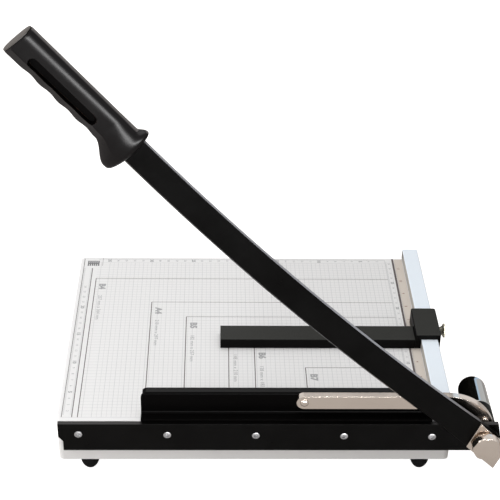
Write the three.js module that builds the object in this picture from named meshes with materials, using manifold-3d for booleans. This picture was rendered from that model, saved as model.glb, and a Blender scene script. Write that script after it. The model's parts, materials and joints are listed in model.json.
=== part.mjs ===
// A desk paper cutter: a sheet-metal table, a hinged knife arm, a press bar on a lever and a sliding back gauge.
// Millimetres. X runs along the cutting edge towards the pivot, with zero at the side fence's inner face.
// Y runs away from the user, with zero in the cutting plane. Z is up, with zero on the desk.
import * as THREE from 'three';
import { mergeVertices } from 'three/addons/utils/BufferGeometryUtils.js';
import Module from 'manifold-3d';

const wasm = await Module();
wasm.setup();

// Fits and facets shared by all pieces
const seatGap = 0.25; // between faces that rest on each other
const runningGap = 0.3; // between faces that slide or turn
const holeClearance = 0.3; // round a screw, pin or bolt, on the radius
const cutOverrun = 2; // how far a cutting tool runs past the face that it cuts
const mergeDistance = 1e-4; // corners closer than this are one
const roundSteps = 32; // facets round a large turned piece
const screwSteps = 16; // facets round a screw

// Table: a folded pan
const tableLength = 403; // along the cutting edge
const tableDepth = 298;
const panHeight = 51.4;
const sheetThickness = 1.2;
const foldRadius = 2.4; // round the table's upper edges
const panCornerRadius = 5; // upright corners
const lipWidth = 30; // turned in under the pan, where the feet are fixed

// Rubber feet and their screws
const footHeight = 17.3;
const footRadius = 8.5;
const footDomeHeight = 7.8; // the dome is cut off level a little below its middle
const footLeftInset = 31.2; // from the table's left end to a foot's axis
const footRightInset = 28.8;
const footEdgeInset = 11.75; // from the table's front or back face
const footScrewLength = 10;

// Fixed blade: a steel bar on the table's front flange
const barThickness = 5;
const barHeight = 34.6;
const barEndInset = 1.7; // from the table's left end
const barShoulderDepth = 16.5; // upright part of the bar's left end
const barNotchWidth = 4.6; // cut away below the shoulder
const barNotchSlope = 6; // height of the slanted part of the notch
const barTopReach = 13.5; // from the pivot to the end of the bar's top edge
const barNoseShare = 0.05; // how far the nose's middle lies before the pivot, as a share of its radius

// Blade screws
const bladeScrewCount = 5;
const bladeScrewInset = 20.3; // from the bar's left end to the first screw
const bladeScrewLastInset = 21; // from the last screw to the table's right end
const bladeScrewDepth = 14; // of the first screw below the cutting edge
const bladeScrewFall = 0.75; // from one screw to the next
const bladeScrewRadius = 2.5;
const bladeScrewHeadRadius = 4.2;
const bladeScrewRim = 0.5;
const bladeScrewCone = 2;
const bladeScrewSink = 0.3; // head's face below the bar's face
const bladeScrewLength = 12;
const driveSlotLength = 4.4; // cross recess
const driveSlotWidth = 1;
const driveSlotDepth = 1.1;
const bladeNutWidth = 8; // across flats
const bladeNutHeight = 3.5;

// Pan-head screws under the table
const panScrewRadius = 2;
const panScrewHeadRadius = 4;
const panScrewHeadHeight = 2.4;

// Side fence and its screws
const fenceWidth = 18;
const fenceHeight = 12;
const fenceChamfer = 0.8;
const fenceFrontInset = 1.5;
const fenceBackReach = 1; // past the table's back edge
const fenceScrewCount = 3;
const fenceScrewEnd = 30; // from the fence's ends to the outer screws
const fenceScrewGrip = 8; // how far a screw reaches into the fence

// Pivot bolt and the stack that turns on it
const pivotX = 50;
const pivotDepth = 16.5; // below the cutting edge
const boltRadius = 8;
const boltTailRadius = 6;
const boltHeadWidth = 25; // across flats
const boltHeadHeight = 4.8;
const boltHeadChamfer = 2.4;
const boltTailReach = 2.5; // past the nut
const lockWasherRadius = 12.4;
const lockWasherThickness = 1.6;
const spacerRadius = 11.6;
const spacerThickness = 1.5;
const bossRadius = 14.8;
const bossLength = 25;
const spigotLength = 6;
const barrelWall = 1.5;
const barrelLength = 35.5; // cylindrical part
const barrelDomeHeight = 14.4;
const pivotNutWidth = 19;
const pivotNutHeight = 8;
const tailWasherRadius = 12;
const tailWasherThickness = 2;
const springWireRadius = 1.4;
const springRadius = 9.8; // to the middle of the wire
const springLength = 16;
const springTurns = 4;
const springSides = 6;
const springStepsPerTurn = 14;

// Knife arm, in its closed pose: u runs from the pivot to the handle, v is up
const restAngle = 43.8; // degrees between the raised arm and the cutting edge
const armThickness = 5;
const armLength = 486; // from the pivot to the shoulder inside the guard
const armPivotWidth = 31.3;
const armHandleWidth = 27.4;
const armSag = 10.5; // how far the curved blade hangs below the line between its ends
const armRise = -1; // of the middle line over the pivot
const armTilt = 1.6; // how much higher the middle line is at the handle
const armBevelHeight = 2.2;
const armBevelRootShare = 0.3; // of that height where the edge isn't ground yet
const armBevelStart = 45; // where the ground edge begins
const armEdgeThickness = 1.2;
const armSteps = 28;
const tangLength = 62;
const tangWidth = 13;
const tangInset = 2; // how far inside the handle's collar the shoulder lies

// Cover plate under the pivot bolt, skewed across the arm
const plateThickness = 3;
const plateLength = 42.6;
const plateHalfWidth = 14.75;
const plateSkew = 12; // how far its upper edge is shifted towards the handle
const plateReach = 9.4; // its lower corner towards the handle, from the pivot
const plateDrop = 2.3; // of its middle below the pivot

// Handle: a moulded grip with a finger guard
const gripAxisLead = 4; // past the arm's shoulder, where the handle's axis is measured
const gripAxisRise = 2.2; // v of the axis there
const gripAxisSlope = 4.6; // degrees
const gripReach = 133.5; // past the arm's shoulder
const gripTop = 15.5; // above the axis
const gripBottom = 17.2; // below the axis
const gripHalfThickness = 7.8;
const gripSquareness = 2.5; // exponent of the rounded section
const guardSquareness = 2;
const gripSectionSteps = 36;
const gripStations = 44;
const gripCrowding = 0.3; // stations lie closer together near both ends of the grip
const fingerDepth = 1.1;
const fingerCount = 4;
const fingerLead = 29; // from the arm's shoulder to the first finger groove
const fingerEndInset = 17.5; // from the grip's end to the last one
const endRound = 0.6; // rounding of the grip's last edge
const endLean = 0.1; // how far the end leans towards the guard, per height above the axis
const leanLength = 49.5; // of the grip's end where the sections lean
const guardLap = 5; // of the guard's collar round the arm, before its shoulder
const guardTopLap = 1.5; // of the upper lobe's crest
const guardTopLead = 7; // from the shoulder to the upper lobe's foot
const guardTopPeak = 20.8; // above the axis
const guardBottomLead = 4.3; // from the shoulder to the lower lobe's tip
const guardBottomRun = 28; // from the shoulder to the lower lobe's foot
const guardBottomPeak = 31; // below the axis
const guardHalfThickness = 10.5;
const collarTop = 15;
const collarBottom = 16.5;
const collarHalfThickness = 7.5;
const pocketLead = 40; // from the arm's shoulder to the long recess in the grip's front face
const pocketEndInset = 19.5; // from the recess to the grip's end
const pocketHalfHeight = 3.7;
const pocketDrop = 4.3; // below the axis
const pocketDepth = 3.2;
const gripEndWall = 2.6; // round the end cap's spigot
const endCapThickness = 1;
const endCapBulge = 0.9;
const endCapBulgeShare = 0.92; // of a quarter circle, up to the flat in the middle
const endCapInset = 0.35;
const endCapSpigot = 5;
const gripScrewRadius = 2;
const gripScrewHeadRadius = 3.6;
const gripScrewHeadDepth = 2.4;
const gripScrewTip = 5.2; // short of the grip's front face
const gripScrewSpacing = 34;

// Press lever
const leverThickness = 7.2;
const leverTop = 30.3; // above the table
const leverWidth = 15.7;
const leverPinX = -134.7;
const leverBendX = 10; // where its upper edge starts to bend down
const leverBendRadius = 53;
const leverInnerBendX = 11; // the same of its lower edge
const leverHubRadius = 13.1;
const bushWall = 1.3;
const stopRadius = 4; // button in the lever over the pivot
const stopStemRadius = 2.2;
const stopRise = 15.9;
const stopCrown = 0.5; // bevel round its face
const stopStemInset = 0.4; // stem's end inside the lever's back face
const leverPinRadius = 2.5;
const leverPinHeadRadius = 4.2;
const leverPinHeadHeight = 1.7;
const leverPinNutWidth = 7.4;
const leverPinNutHeight = 3;

// Press bar: a folded Z-section
const pressBarLeft = -299.6;
const pressBarRight = -3.9;
const pressBarLift = 0.9; // above the table
const pressBarFootFront = 3.4;
const pressBarTop = 29; // above the table
const pressBarWall = 2.5;
const pressBarFlangeDepth = 8.7;
const pressBarFold = 2.4;
const pressBarEndRadius = 7;

// Back gauge, saddle block and thumbscrew
const gaugeLeft = -219;
const gaugeFront = 125.3;
const gaugeDepth = 26.5;
const gaugeLift = 0.6;
const gaugeTop = 11.5; // above the table
const gaugeEdgeRadius = 1.2;
const gaugeBackRadius = 1.2;
const blockWall = 6.1; // left jaw
const blockLeg = 2.9; // right leg
const blockLength = 50;
const blockRoof = 5.6;
const blockLegReach = 1.3; // below the table's surface
const blockCornerRadius = 2.5;
const blockEdge = 0.8;
const gaugeScrewSpacing = 14;
const gaugeScrewGrip = 10;
const thumbRadius = 2.5;
const thumbHeadRadius = 7.8;
const thumbNeckRadius = 3.4;
const thumbNeckLength = 1.4;
const thumbFlareLength = 4.6;
const thumbRimLength = 1.8;
const thumbDishDepth = 1;
const thumbHeight = 6.2; // above the table

// Places worked out from the sizes above
const tableRight = fenceWidth;
const tableLeft = tableRight - tableLength;
const tableFront = barThickness + seatGap;
const tableBack = tableFront + tableDepth;
const tableBottom = footHeight + seatGap;
const tableTop = tableBottom + panHeight;
const barLeft = tableLeft + barEndInset;
const pivotZ = tableTop - pivotDepth;
const armBack = -runningGap;
const armFront = armBack - armThickness;
const armMiddle = armBack - armThickness / 2;
const plateBack = armFront - seatGap;
const plateFront = plateBack - plateThickness;
const lockWasherBack = plateFront - seatGap;
const boltHeadBack = lockWasherBack - lockWasherThickness - seatGap;
const spacerFront = barThickness + seatGap;
const leverFront = spacerFront + spacerThickness + runningGap;
const leverBack = leverFront + leverThickness;
const bossFront = leverBack + runningGap;
const barrelFront = bossFront + bossLength + seatGap;
const spigotRadius = bossRadius - barrelWall - seatGap;
const springFront = barrelFront + spigotLength + seatGap;
const tailWasherFront = springFront + springLength + seatGap;
const pivotNutFront = tailWasherFront + tailWasherThickness + seatGap;
const boltTailEnd = pivotNutFront + pivotNutHeight + boltTailReach;
const bushRadius = boltRadius + holeClearance + bushWall;
const pressBarFront = leverBack + runningGap;
const fenceTop = fenceHeight + seatGap;
const slope = THREE.MathUtils.degToRad(gripAxisSlope);
const bladeScrewRun = tableRight - bladeScrewLastInset - barLeft - bladeScrewInset;

// Distances from the pivot along the arm
const guardFront = armLength - guardLap;
const guardTopAt = armLength - guardTopLap;
const guardTopBack = armLength + guardTopLead;
const guardBottomAt = armLength + guardBottomLead;
const guardBottomBack = armLength + guardBottomRun;
const gripAxisStart = armLength + gripAxisLead;
const gripEnd = armLength + gripReach;
const fingerFirst = armLength + fingerLead;
const fingerLast = gripEnd - fingerEndInset;
const leanStart = gripEnd - leanLength;
const pocketFirst = armLength + pocketLead;
const pocketLast = gripEnd - pocketEndInset;

const materials = {
  tablePaint: { color: 0xe6e6e4, roughness: 0.45, metalness: 0.1 },
  blackPaint: { color: 0x131312, roughness: 0.4, metalness: 0.2 },
  gaugePaint: { color: 0x2c2c2a, roughness: 0.55, metalness: 0.2 },
  blackPlastic: { color: 0x100e0e, roughness: 0.22, metalness: 0 },
  capPlastic: { color: 0x4a423c, roughness: 0.4, metalness: 0 },
  nickel: { color: 0xb3a99e, roughness: 0.25, metalness: 1 },
  chrome: { color: 0xd5dae0, roughness: 0.06, metalness: 1 },
  zinc: { color: 0xa5a8ab, roughness: 0.35, metalness: 1 },
  brass: { color: 0xc9b98a, roughness: 0.3, metalness: 1 },
  fencePaint: { color: 0xe8effb, roughness: 0.35, metalness: 0.1 },
  rubber: { color: 0x0b0b0c, roughness: 0.8, metalness: 0 },
};

// A closed geometry becomes a solid: its shared vertices are merged and its faces turned outwards.
function solidOf(geometry) {
  const bare = new THREE.BufferGeometry();
  bare.setAttribute('position', geometry.getAttribute('position').clone());
  if (geometry.index) bare.setIndex(geometry.index.clone());
  const merged = mergeVertices(bare, mergeDistance);
  const place = merged.getAttribute('position');
  const corner = merged.index;
  const faces = [];
  let volume = 0;
  const a = new THREE.Vector3();
  const b = new THREE.Vector3();
  const c = new THREE.Vector3();
  for (let i = 0; i < corner.count; i += 3) {
    const face = [corner.getX(i), corner.getX(i + 1), corner.getX(i + 2)];
    if (face[0] === face[1] || face[1] === face[2] || face[2] === face[0]) continue;
    a.fromBufferAttribute(place, face[0]);
    b.fromBufferAttribute(place, face[1]);
    c.fromBufferAttribute(place, face[2]);
    volume += a.dot(b.cross(c));
    faces.push(face);
  }
  const triVerts = new Uint32Array(faces.flatMap((face) => (volume > 0 ? face : face.reverse())));
  const vertProperties = new Float32Array(place.array);
  return new wasm.Manifold(new wasm.Mesh({ numProp: 3, vertProperties, triVerts }));
}

function addPart(parent, name, solid, finish) {
  const made = solid.getMesh();
  const geometry = new THREE.BufferGeometry();
  const places = [];
  for (let i = 0; i < made.vertProperties.length; i += made.numProp) {
    places.push(...made.vertProperties.subarray(i, i + 3));
  }
  geometry.setAttribute('position', new THREE.Float32BufferAttribute(places, 3));
  geometry.setIndex([...made.triVerts]);
  geometry.computeVertexNormals();
  const mesh = new THREE.Mesh(geometry, new THREE.MeshStandardMaterial(materials[finish]));
  mesh.name = name;
  parent.add(mesh);
  return mesh;
}

// An outline drawn in X and Z, made into a plate between two depths along Y
function plateXZ(shape, front, back, curveSegments = 12) {
  const geometry = new THREE.ExtrudeGeometry(shape, { depth: back - front, bevelEnabled: false, curveSegments });
  geometry.rotateX(Math.PI / 2);
  geometry.translate(0, back, 0);
  return solidOf(geometry);
}

// An outline drawn in Y and Z, made into a bar between two places along X
function barYZ(shape, left, right, curveSegments = 6) {
  const geometry = new THREE.ExtrudeGeometry(shape, { depth: right - left, bevelEnabled: false, curveSegments });
  const axes = new THREE.Matrix4().makeBasis(
    new THREE.Vector3(0, 1, 0),
    new THREE.Vector3(0, 0, 1),
    new THREE.Vector3(1, 0, 0),
  );
  geometry.applyMatrix4(axes);
  geometry.translate(left, 0, 0);
  return solidOf(geometry);
}

// An outline drawn in X and Y, made into a block between two heights
function blockXY(shape, bottom, top, curveSegments = 6) {
  const geometry = new THREE.ExtrudeGeometry(shape, { depth: top - bottom, bevelEnabled: false, curveSegments });
  geometry.translate(0, 0, bottom);
  return solidOf(geometry);
}

// A profile of [radius, distance] pairs turned about an axis along Y through x and z
function turnedY(profile, x, z, steps = roundSteps) {
  const points = profile.map(([radius, along]) => new THREE.Vector2(radius, along));
  const geometry = new THREE.LatheGeometry(points, steps);
  geometry.translate(x, 0, z);
  return solidOf(geometry);
}

// The same about an upright axis
function turnedZ(profile, x, y, steps = roundSteps) {
  const points = profile.map(([radius, along]) => new THREE.Vector2(radius, along));
  const geometry = new THREE.LatheGeometry(points, steps);
  geometry.rotateX(Math.PI / 2);
  geometry.translate(x, y, 0);
  return solidOf(geometry);
}

// The same about an axis along X
function turnedX(profile, y, z, steps = roundSteps) {
  const points = profile.map(([radius, along]) => new THREE.Vector2(radius, along));
  const geometry = new THREE.LatheGeometry(points, steps);
  geometry.rotateZ(-Math.PI / 2);
  geometry.translate(0, y, z);
  return solidOf(geometry);
}

function rod(radius, front, back, x, z, steps = roundSteps) {
  return turnedY([[0, front], [radius, front], [radius, back], [0, back]], x, z, steps);
}

function ring(inner, outer, front, back, x, z, steps = roundSteps) {
  return turnedY([[inner, front], [outer, front], [outer, back], [inner, back], [inner, front]], x, z, steps);
}

// A stack of rings with the same number of points, closed at both ends
function lofted(rings) {
  const count = rings[0].length;
  const places = rings.flat().flatMap((point) => [point.x, point.y, point.z]);
  const index = [];
  for (let level = 0; level < rings.length - 1; level += 1) {
    for (let i = 0; i < count; i += 1) {
      const low = level * count + i;
      const next = level * count + ((i + 1) % count);
      index.push(low, next, next + count, low, next + count, low + count);
    }
  }
  const top = (rings.length - 1) * count;
  for (let i = 1; i < count - 1; i += 1) {
    index.push(0, i + 1, i, top, top + i, top + i + 1);
  }
  const geometry = new THREE.BufferGeometry();
  geometry.setAttribute('position', new THREE.Float32BufferAttribute(places, 3));
  geometry.setIndex(index);
  return solidOf(geometry);
}

function hexagon(acrossFlats, x, y, turn = 0) {
  const radius = acrossFlats / Math.sqrt(3);
  const shape = new THREE.Shape();
  for (let side = 0; side < 6; side += 1) {
    const angle = turn + (side * Math.PI) / 3;
    const place = [x + radius * Math.cos(angle), y + radius * Math.sin(angle)];
    if (side === 0) shape.moveTo(...place);
    else shape.lineTo(...place);
  }
  shape.closePath();
  return shape;
}

// A round hole runs against the direction of the outline that it is cut in.
function pierce(shape, x, z, radius) {
  const clockwise = !THREE.ShapeUtils.isClockWise(shape.getPoints());
  shape.holes.push(new THREE.Path().absarc(x, z, radius, 0, Math.PI * 2, clockwise));
}

function nutY(acrossFlats, bore, front, back, x, z, turn) {
  const shape = hexagon(acrossFlats, x, z, turn);
  pierce(shape, x, z, bore);
  return plateXZ(shape, front, back, screwSteps / 2);
}

function polygon(points) {
  return new THREE.Shape(points.map(([a, b]) => new THREE.Vector2(a, b)));
}

// Table

// A level rounded rectangle, drawn in from the table's outside by an inset
function panRing(inset, radius, height) {
  const left = tableLeft + inset;
  const right = tableRight - inset;
  const front = tableFront + inset;
  const back = tableBack - inset;
  const corners = [[right, front, -1, 1], [right, back, -1, -1], [left, back, 1, -1], [left, front, 1, 1]];
  const points = [];
  const steps = 5;
  corners.forEach(([x, y, inwardX, inwardY], corner) => {
    for (let i = 0; i <= steps; i += 1) {
      const angle = ((corner - 1) + i / steps) * (Math.PI / 2);
      const centreX = x + inwardX * radius;
      const centreY = y + inwardY * radius;
      points.push(new THREE.Vector3(centreX + radius * Math.cos(angle), centreY + radius * Math.sin(angle), height));
    }
  });
  return points;
}

function foldedShell(inset, bottom, top, fold) {
  const steps = 4;
  const rings = [panRing(inset, panCornerRadius - inset, bottom)];
  for (let i = 0; i <= steps; i += 1) {
    const angle = (i / steps) * (Math.PI / 2);
    const drawnIn = fold * (1 - Math.cos(angle));
    const height = top - fold + fold * Math.sin(angle);
    rings.push(panRing(inset + drawnIn, panCornerRadius - inset - drawnIn, height));
  }
  return lofted(rings);
}

function bladeScrewX(index) {
  return barLeft + bladeScrewInset + (bladeScrewRun * index) / (bladeScrewCount - 1);
}

function bladeScrewZ(index) {
  return tableTop - bladeScrewDepth - index * bladeScrewFall;
}

const fenceX = fenceWidth / 2;
const fenceFront = tableFront + fenceFrontInset;
const fenceBack = tableBack + fenceBackReach;

function fenceScrewY(index) {
  const first = fenceFront + fenceScrewEnd;
  const last = fenceBack - fenceScrewEnd;
  return first + ((last - first) * index) / (fenceScrewCount - 1);
}

const footPlaces = [
  [tableLeft + footLeftInset, tableFront + footEdgeInset],
  [tableRight - footRightInset, tableFront + footEdgeInset],
  [tableRight - footRightInset, tableBack - footEdgeInset],
  [tableLeft + footLeftInset, tableBack - footEdgeInset],
];

function makeBaseboard() {
  const lipTop = tableBottom + sheetThickness;
  let pan = foldedShell(0, tableBottom, tableTop, foldRadius);
  const inside = foldedShell(sheetThickness, lipTop, tableTop - sheetThickness, foldRadius - sheetThickness);
  const mouth = lofted([
    panRing(lipWidth, panCornerRadius, tableBottom - cutOverrun),
    panRing(lipWidth, panCornerRadius, lipTop + cutOverrun),
  ]);
  pan = pan.subtract(inside).subtract(mouth);
  for (let i = 0; i < bladeScrewCount; i += 1) {
    const radius = bladeScrewRadius + holeClearance;
    const back = tableFront + sheetThickness + cutOverrun;
    pan = pan.subtract(rod(radius, tableFront - cutOverrun, back, bladeScrewX(i), bladeScrewZ(i), screwSteps));
  }
  const screwHole = panScrewRadius + holeClearance;
  for (const [x, y] of footPlaces) {
    const low = tableBottom - cutOverrun;
    const high = lipTop + cutOverrun;
    pan = pan.subtract(turnedZ([[0, low], [screwHole, low], [screwHole, high], [0, high]], x, y, screwSteps));
  }
  for (let i = 0; i < fenceScrewCount; i += 1) {
    const low = tableTop - sheetThickness - cutOverrun;
    const high = tableTop + cutOverrun;
    const hole = [[0, low], [screwHole, low], [screwHole, high], [0, high]];
    pan = pan.subtract(turnedZ(hole, fenceX, fenceScrewY(i), screwSteps));
  }
  return pan;
}

function makeFoot([x, y]) {
  const domeSteps = 6;
  const level = Math.asin(footDomeHeight / footRadius);
  const profile = [[0, 0]];
  for (let i = 0; i <= domeSteps; i += 1) {
    const angle = level * (1 - i / domeSteps);
    profile.push([footRadius * Math.cos(angle), footDomeHeight - footRadius * Math.sin(angle)]);
  }
  const holeRadius = panScrewRadius + holeClearance;
  const holeBottom = footHeight - footScrewLength - holeClearance;
  profile.push([footRadius, footHeight], [holeRadius, footHeight], [holeRadius, holeBottom], [0, holeBottom]);
  return turnedZ(profile, x, y, 24);
}

// A pan-head screw that points down or up from the face that its head sits on
function panScrewZ(seat, length, points, x, y) {
  const head = seat - points * panScrewHeadHeight;
  const crown = seat - (points * panScrewHeadHeight) / 2;
  const tip = seat + points * length;
  const profile = [
    [0, head],
    [panScrewHeadRadius / 2, head],
    [panScrewHeadRadius, crown],
    [panScrewHeadRadius, seat],
    [panScrewRadius, seat],
    [panScrewRadius, tip],
    [0, tip],
  ];
  return turnedZ(profile, x, y, screwSteps);
}

// Fixed blade and its screws

function makeFixedBlade() {
  const noseRadius = barHeight - pivotDepth;
  const noseX = pivotX - noseRadius * barNoseShare;
  const shape = new THREE.Shape();
  shape.moveTo(barLeft, tableTop);
  shape.lineTo(barLeft, tableTop - barShoulderDepth);
  shape.lineTo(barLeft + barNotchWidth, tableTop - barShoulderDepth - barNotchSlope);
  shape.lineTo(barLeft + barNotchWidth, tableTop - barHeight);
  shape.lineTo(noseX, tableTop - barHeight);
  shape.absarc(noseX, pivotZ, noseRadius, -Math.PI / 2, 0, false);
  shape.lineTo(pivotX + barTopReach, tableTop);
  shape.closePath();
  let bar = plateXZ(shape, 0, barThickness);
  bar = bar.subtract(rod(boltRadius + holeClearance, -cutOverrun, barThickness + cutOverrun, pivotX, pivotZ));
  const shank = bladeScrewRadius + holeClearance;
  const head = bladeScrewHeadRadius + holeClearance;
  const rimBack = bladeScrewSink + bladeScrewRim + holeClearance;
  const coneBack = rimBack + bladeScrewCone;
  for (let i = 0; i < bladeScrewCount; i += 1) {
    const hole = [
      [0, -cutOverrun],
      [head, -cutOverrun],
      [head, rimBack],
      [shank, coneBack],
      [shank, barThickness + cutOverrun],
      [0, barThickness + cutOverrun],
    ];
    bar = bar.subtract(turnedY(hole, bladeScrewX(i), bladeScrewZ(i), screwSteps));
  }
  return bar;
}

function makeBladeScrew(index) {
  const x = bladeScrewX(index);
  const face = bladeScrewSink;
  const profile = [
    [0, face],
    [bladeScrewHeadRadius, face],
    [bladeScrewHeadRadius, face + bladeScrewRim],
    [bladeScrewRadius, face + bladeScrewRim + bladeScrewCone],
    [bladeScrewRadius, face + bladeScrewLength],
    [0, face + bladeScrewLength],
  ];
  let screw = turnedY(profile, x, bladeScrewZ(index), screwSteps);
  for (const quarter of [0, 1]) {
    const slot = new THREE.BoxGeometry(driveSlotLength, driveSlotDepth * 2, driveSlotWidth);
    slot.rotateY(index + (quarter * Math.PI) / 2);
    slot.translate(x, face, bladeScrewZ(index));
    screw = screw.subtract(solidOf(slot));
  }
  return screw;
}

function makeBladeNut(index) {
  const front = tableFront + sheetThickness + seatGap;
  const bore = bladeScrewRadius + holeClearance;
  const back = front + bladeNutHeight;
  return nutY(bladeNutWidth, bore, front, back, bladeScrewX(index), bladeScrewZ(index), index);
}

// Side fence

function makeFence() {
  const bottom = tableTop + seatGap;
  const top = tableTop + fenceTop;
  const points = [
    [0, bottom],
    [fenceWidth, bottom],
    [fenceWidth, top - fenceChamfer],
    [fenceWidth - fenceChamfer, top],
    [fenceChamfer, top],
    [0, top - fenceChamfer],
  ];
  let fence = plateXZ(polygon(points), fenceFront, fenceBack);
  const radius = panScrewRadius + holeClearance;
  const high = bottom + fenceScrewGrip + holeClearance;
  for (let i = 0; i < fenceScrewCount; i += 1) {
    const hole = [[0, bottom - cutOverrun], [radius, bottom - cutOverrun], [radius, high], [0, high]];
    fence = fence.subtract(turnedZ(hole, fenceX, fenceScrewY(i), screwSteps));
  }
  return fence;
}

function makeFenceScrew(index) {
  const seat = tableTop - sheetThickness - seatGap;
  const length = fenceScrewGrip + sheetThickness + 2 * seatGap;
  return panScrewZ(seat, length, 1, fenceX, fenceScrewY(index));
}

// Pivot stack

function makePivotBolt() {
  const front = boltHeadBack - boltHeadHeight;
  const corner = boltHeadWidth / Math.sqrt(3);
  const head = plateXZ(hexagon(boltHeadWidth, pivotX, pivotZ, Math.PI / 4), front, boltHeadBack);
  const rounding = turnedY([
    [0, front],
    [corner - boltHeadChamfer, front],
    [corner + boltHeadChamfer, front + boltHeadChamfer],
    [corner + boltHeadChamfer, boltHeadBack],
    [0, boltHeadBack],
  ], pivotX, pivotZ);
  const bossBack = barrelFront + spigotLength;
  const start = boltHeadBack - boltHeadHeight / 2;
  const shank = turnedY([
    [0, start],
    [boltRadius, start],
    [boltRadius, bossBack],
    [boltTailRadius, bossBack],
    [boltTailRadius, boltTailEnd],
    [0, boltTailEnd],
  ], pivotX, pivotZ);
  return head.intersect(rounding).add(shank);
}

function makeBoss() {
  const bore = boltRadius + holeClearance;
  const shoulder = bossFront + bossLength;
  const end = barrelFront + spigotLength - holeClearance;
  return turnedY([
    [bore, bossFront],
    [bossRadius, bossFront],
    [bossRadius, shoulder],
    [spigotRadius, shoulder],
    [spigotRadius, end],
    [bore, end],
    [bore, bossFront],
  ], pivotX, pivotZ);
}

function makeBarrel() {
  const domeSteps = 8;
  const domeStart = barrelFront + barrelLength;
  const innerRadius = bossRadius - barrelWall;
  const outer = [[bossRadius, barrelFront], [bossRadius, domeStart]];
  const inner = [[innerRadius, barrelFront], [innerRadius, domeStart]];
  for (let i = 1; i <= domeSteps; i += 1) {
    const angle = (i / domeSteps) * (Math.PI / 2);
    outer.push([bossRadius * Math.cos(angle), domeStart + barrelDomeHeight * Math.sin(angle)]);
    inner.push([innerRadius * Math.cos(angle), domeStart + (barrelDomeHeight - barrelWall) * Math.sin(angle)]);
  }
  outer[outer.length - 1][0] = 0;
  inner[inner.length - 1][0] = 0;
  return turnedY([...inner.reverse(), ...outer], pivotX, pivotZ, 40);
}

function makeSpring() {
  const steps = springTurns * springStepsPerTurn;
  const rings = [];
  for (let i = 0; i <= steps; i += 1) {
    const angle = (i / springStepsPerTurn) * Math.PI * 2;
    const along = springFront + springWireRadius + ((springLength - 2 * springWireRadius) * i) / steps;
    const points = [];
    for (let side = 0; side < springSides; side += 1) {
      const turn = (side / springSides) * Math.PI * 2;
      const radius = springRadius + springWireRadius * Math.cos(turn);
      const x = pivotX + radius * Math.cos(angle);
      const z = pivotZ + radius * Math.sin(angle);
      points.push(new THREE.Vector3(x, along + springWireRadius * Math.sin(turn), z));
    }
    rings.push(points);
  }
  return lofted(rings);
}

// Knife arm, drawn closed about the pivot: x is -u and z is v

function armMiddleHeight(u) {
  const along = u / armLength;
  return armRise + armTilt * along - 4 * armSag * along * (1 - along);
}

function armHalfWidth(u) {
  return (armPivotWidth + (armHandleWidth - armPivotWidth) * (u / armLength)) / 2;
}

function gripAxis(u) {
  return gripAxisRise + (u - gripAxisStart) * Math.tan(slope);
}

// The arm's blade; grown by a clearance, it is the hollow that holds the arm in the handle
function armBody(grow) {
  const front = armFront - grow;
  const back = armBack + grow;
  const rings = [];
  for (let i = 0; i <= armSteps; i += 1) {
    const u = (armLength * i) / armSteps;
    const end = i === armSteps ? u + grow : u;
    const top = armMiddleHeight(u) + armHalfWidth(u) + grow;
    const bottom = armMiddleHeight(u) - armHalfWidth(u) - grow;
    const ground = grow > 0 ? 0 : THREE.MathUtils.smoothstep(u, armBevelStart / 2, armBevelStart);
    const edge = front + (armThickness - armEdgeThickness) * ground;
    rings.push([
      new THREE.Vector3(-end, back, top),
      new THREE.Vector3(-end, front, top),
      new THREE.Vector3(-end, front, bottom + armBevelHeight * (ground + armBevelRootShare)),
      new THREE.Vector3(-end, edge, bottom),
      new THREE.Vector3(-end, back, bottom),
    ]);
  }
  return lofted(rings);
}

function tang(grow) {
  const start = armLength - tangInset;
  const end = armLength + tangLength + grow;
  const half = tangWidth / 2 + grow;
  const shape = polygon([
    [-start, gripAxis(start) - half],
    [-start, gripAxis(start) + half],
    [-end, gripAxis(end) + half],
    [-end, gripAxis(end) - half],
  ]);
  return plateXZ(shape, armFront - grow, armBack + grow);
}

function gripScrewU(index) {
  return armLength + tangLength / 2 + (index - 0.5) * gripScrewSpacing;
}

function makeKnifeArm() {
  let arm = armBody(0).add(tang(0));
  arm = arm.add(rod(armPivotWidth / 2, armFront, armBack, 0, armRise));
  arm = arm.subtract(rod(boltRadius + holeClearance, armFront - cutOverrun, armBack + cutOverrun, 0, 0));
  for (const index of [0, 1]) {
    const u = gripScrewU(index);
    const hole = gripScrewRadius + holeClearance;
    arm = arm.subtract(rod(hole, armFront - cutOverrun, armBack + cutOverrun, -u, gripAxis(u), screwSteps));
  }
  return arm;
}

function makePivotPlate() {
  const left = -plateReach;
  const right = left + plateLength;
  const bottom = -plateHalfWidth - plateDrop;
  const top = plateHalfWidth - plateDrop;
  const shape = polygon([[left, bottom], [right, bottom], [right - plateSkew, top], [left - plateSkew, top]]);
  pierce(shape, 0, 0, boltRadius + holeClearance);
  return plateXZ(shape, plateFront, plateBack);
}

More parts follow.
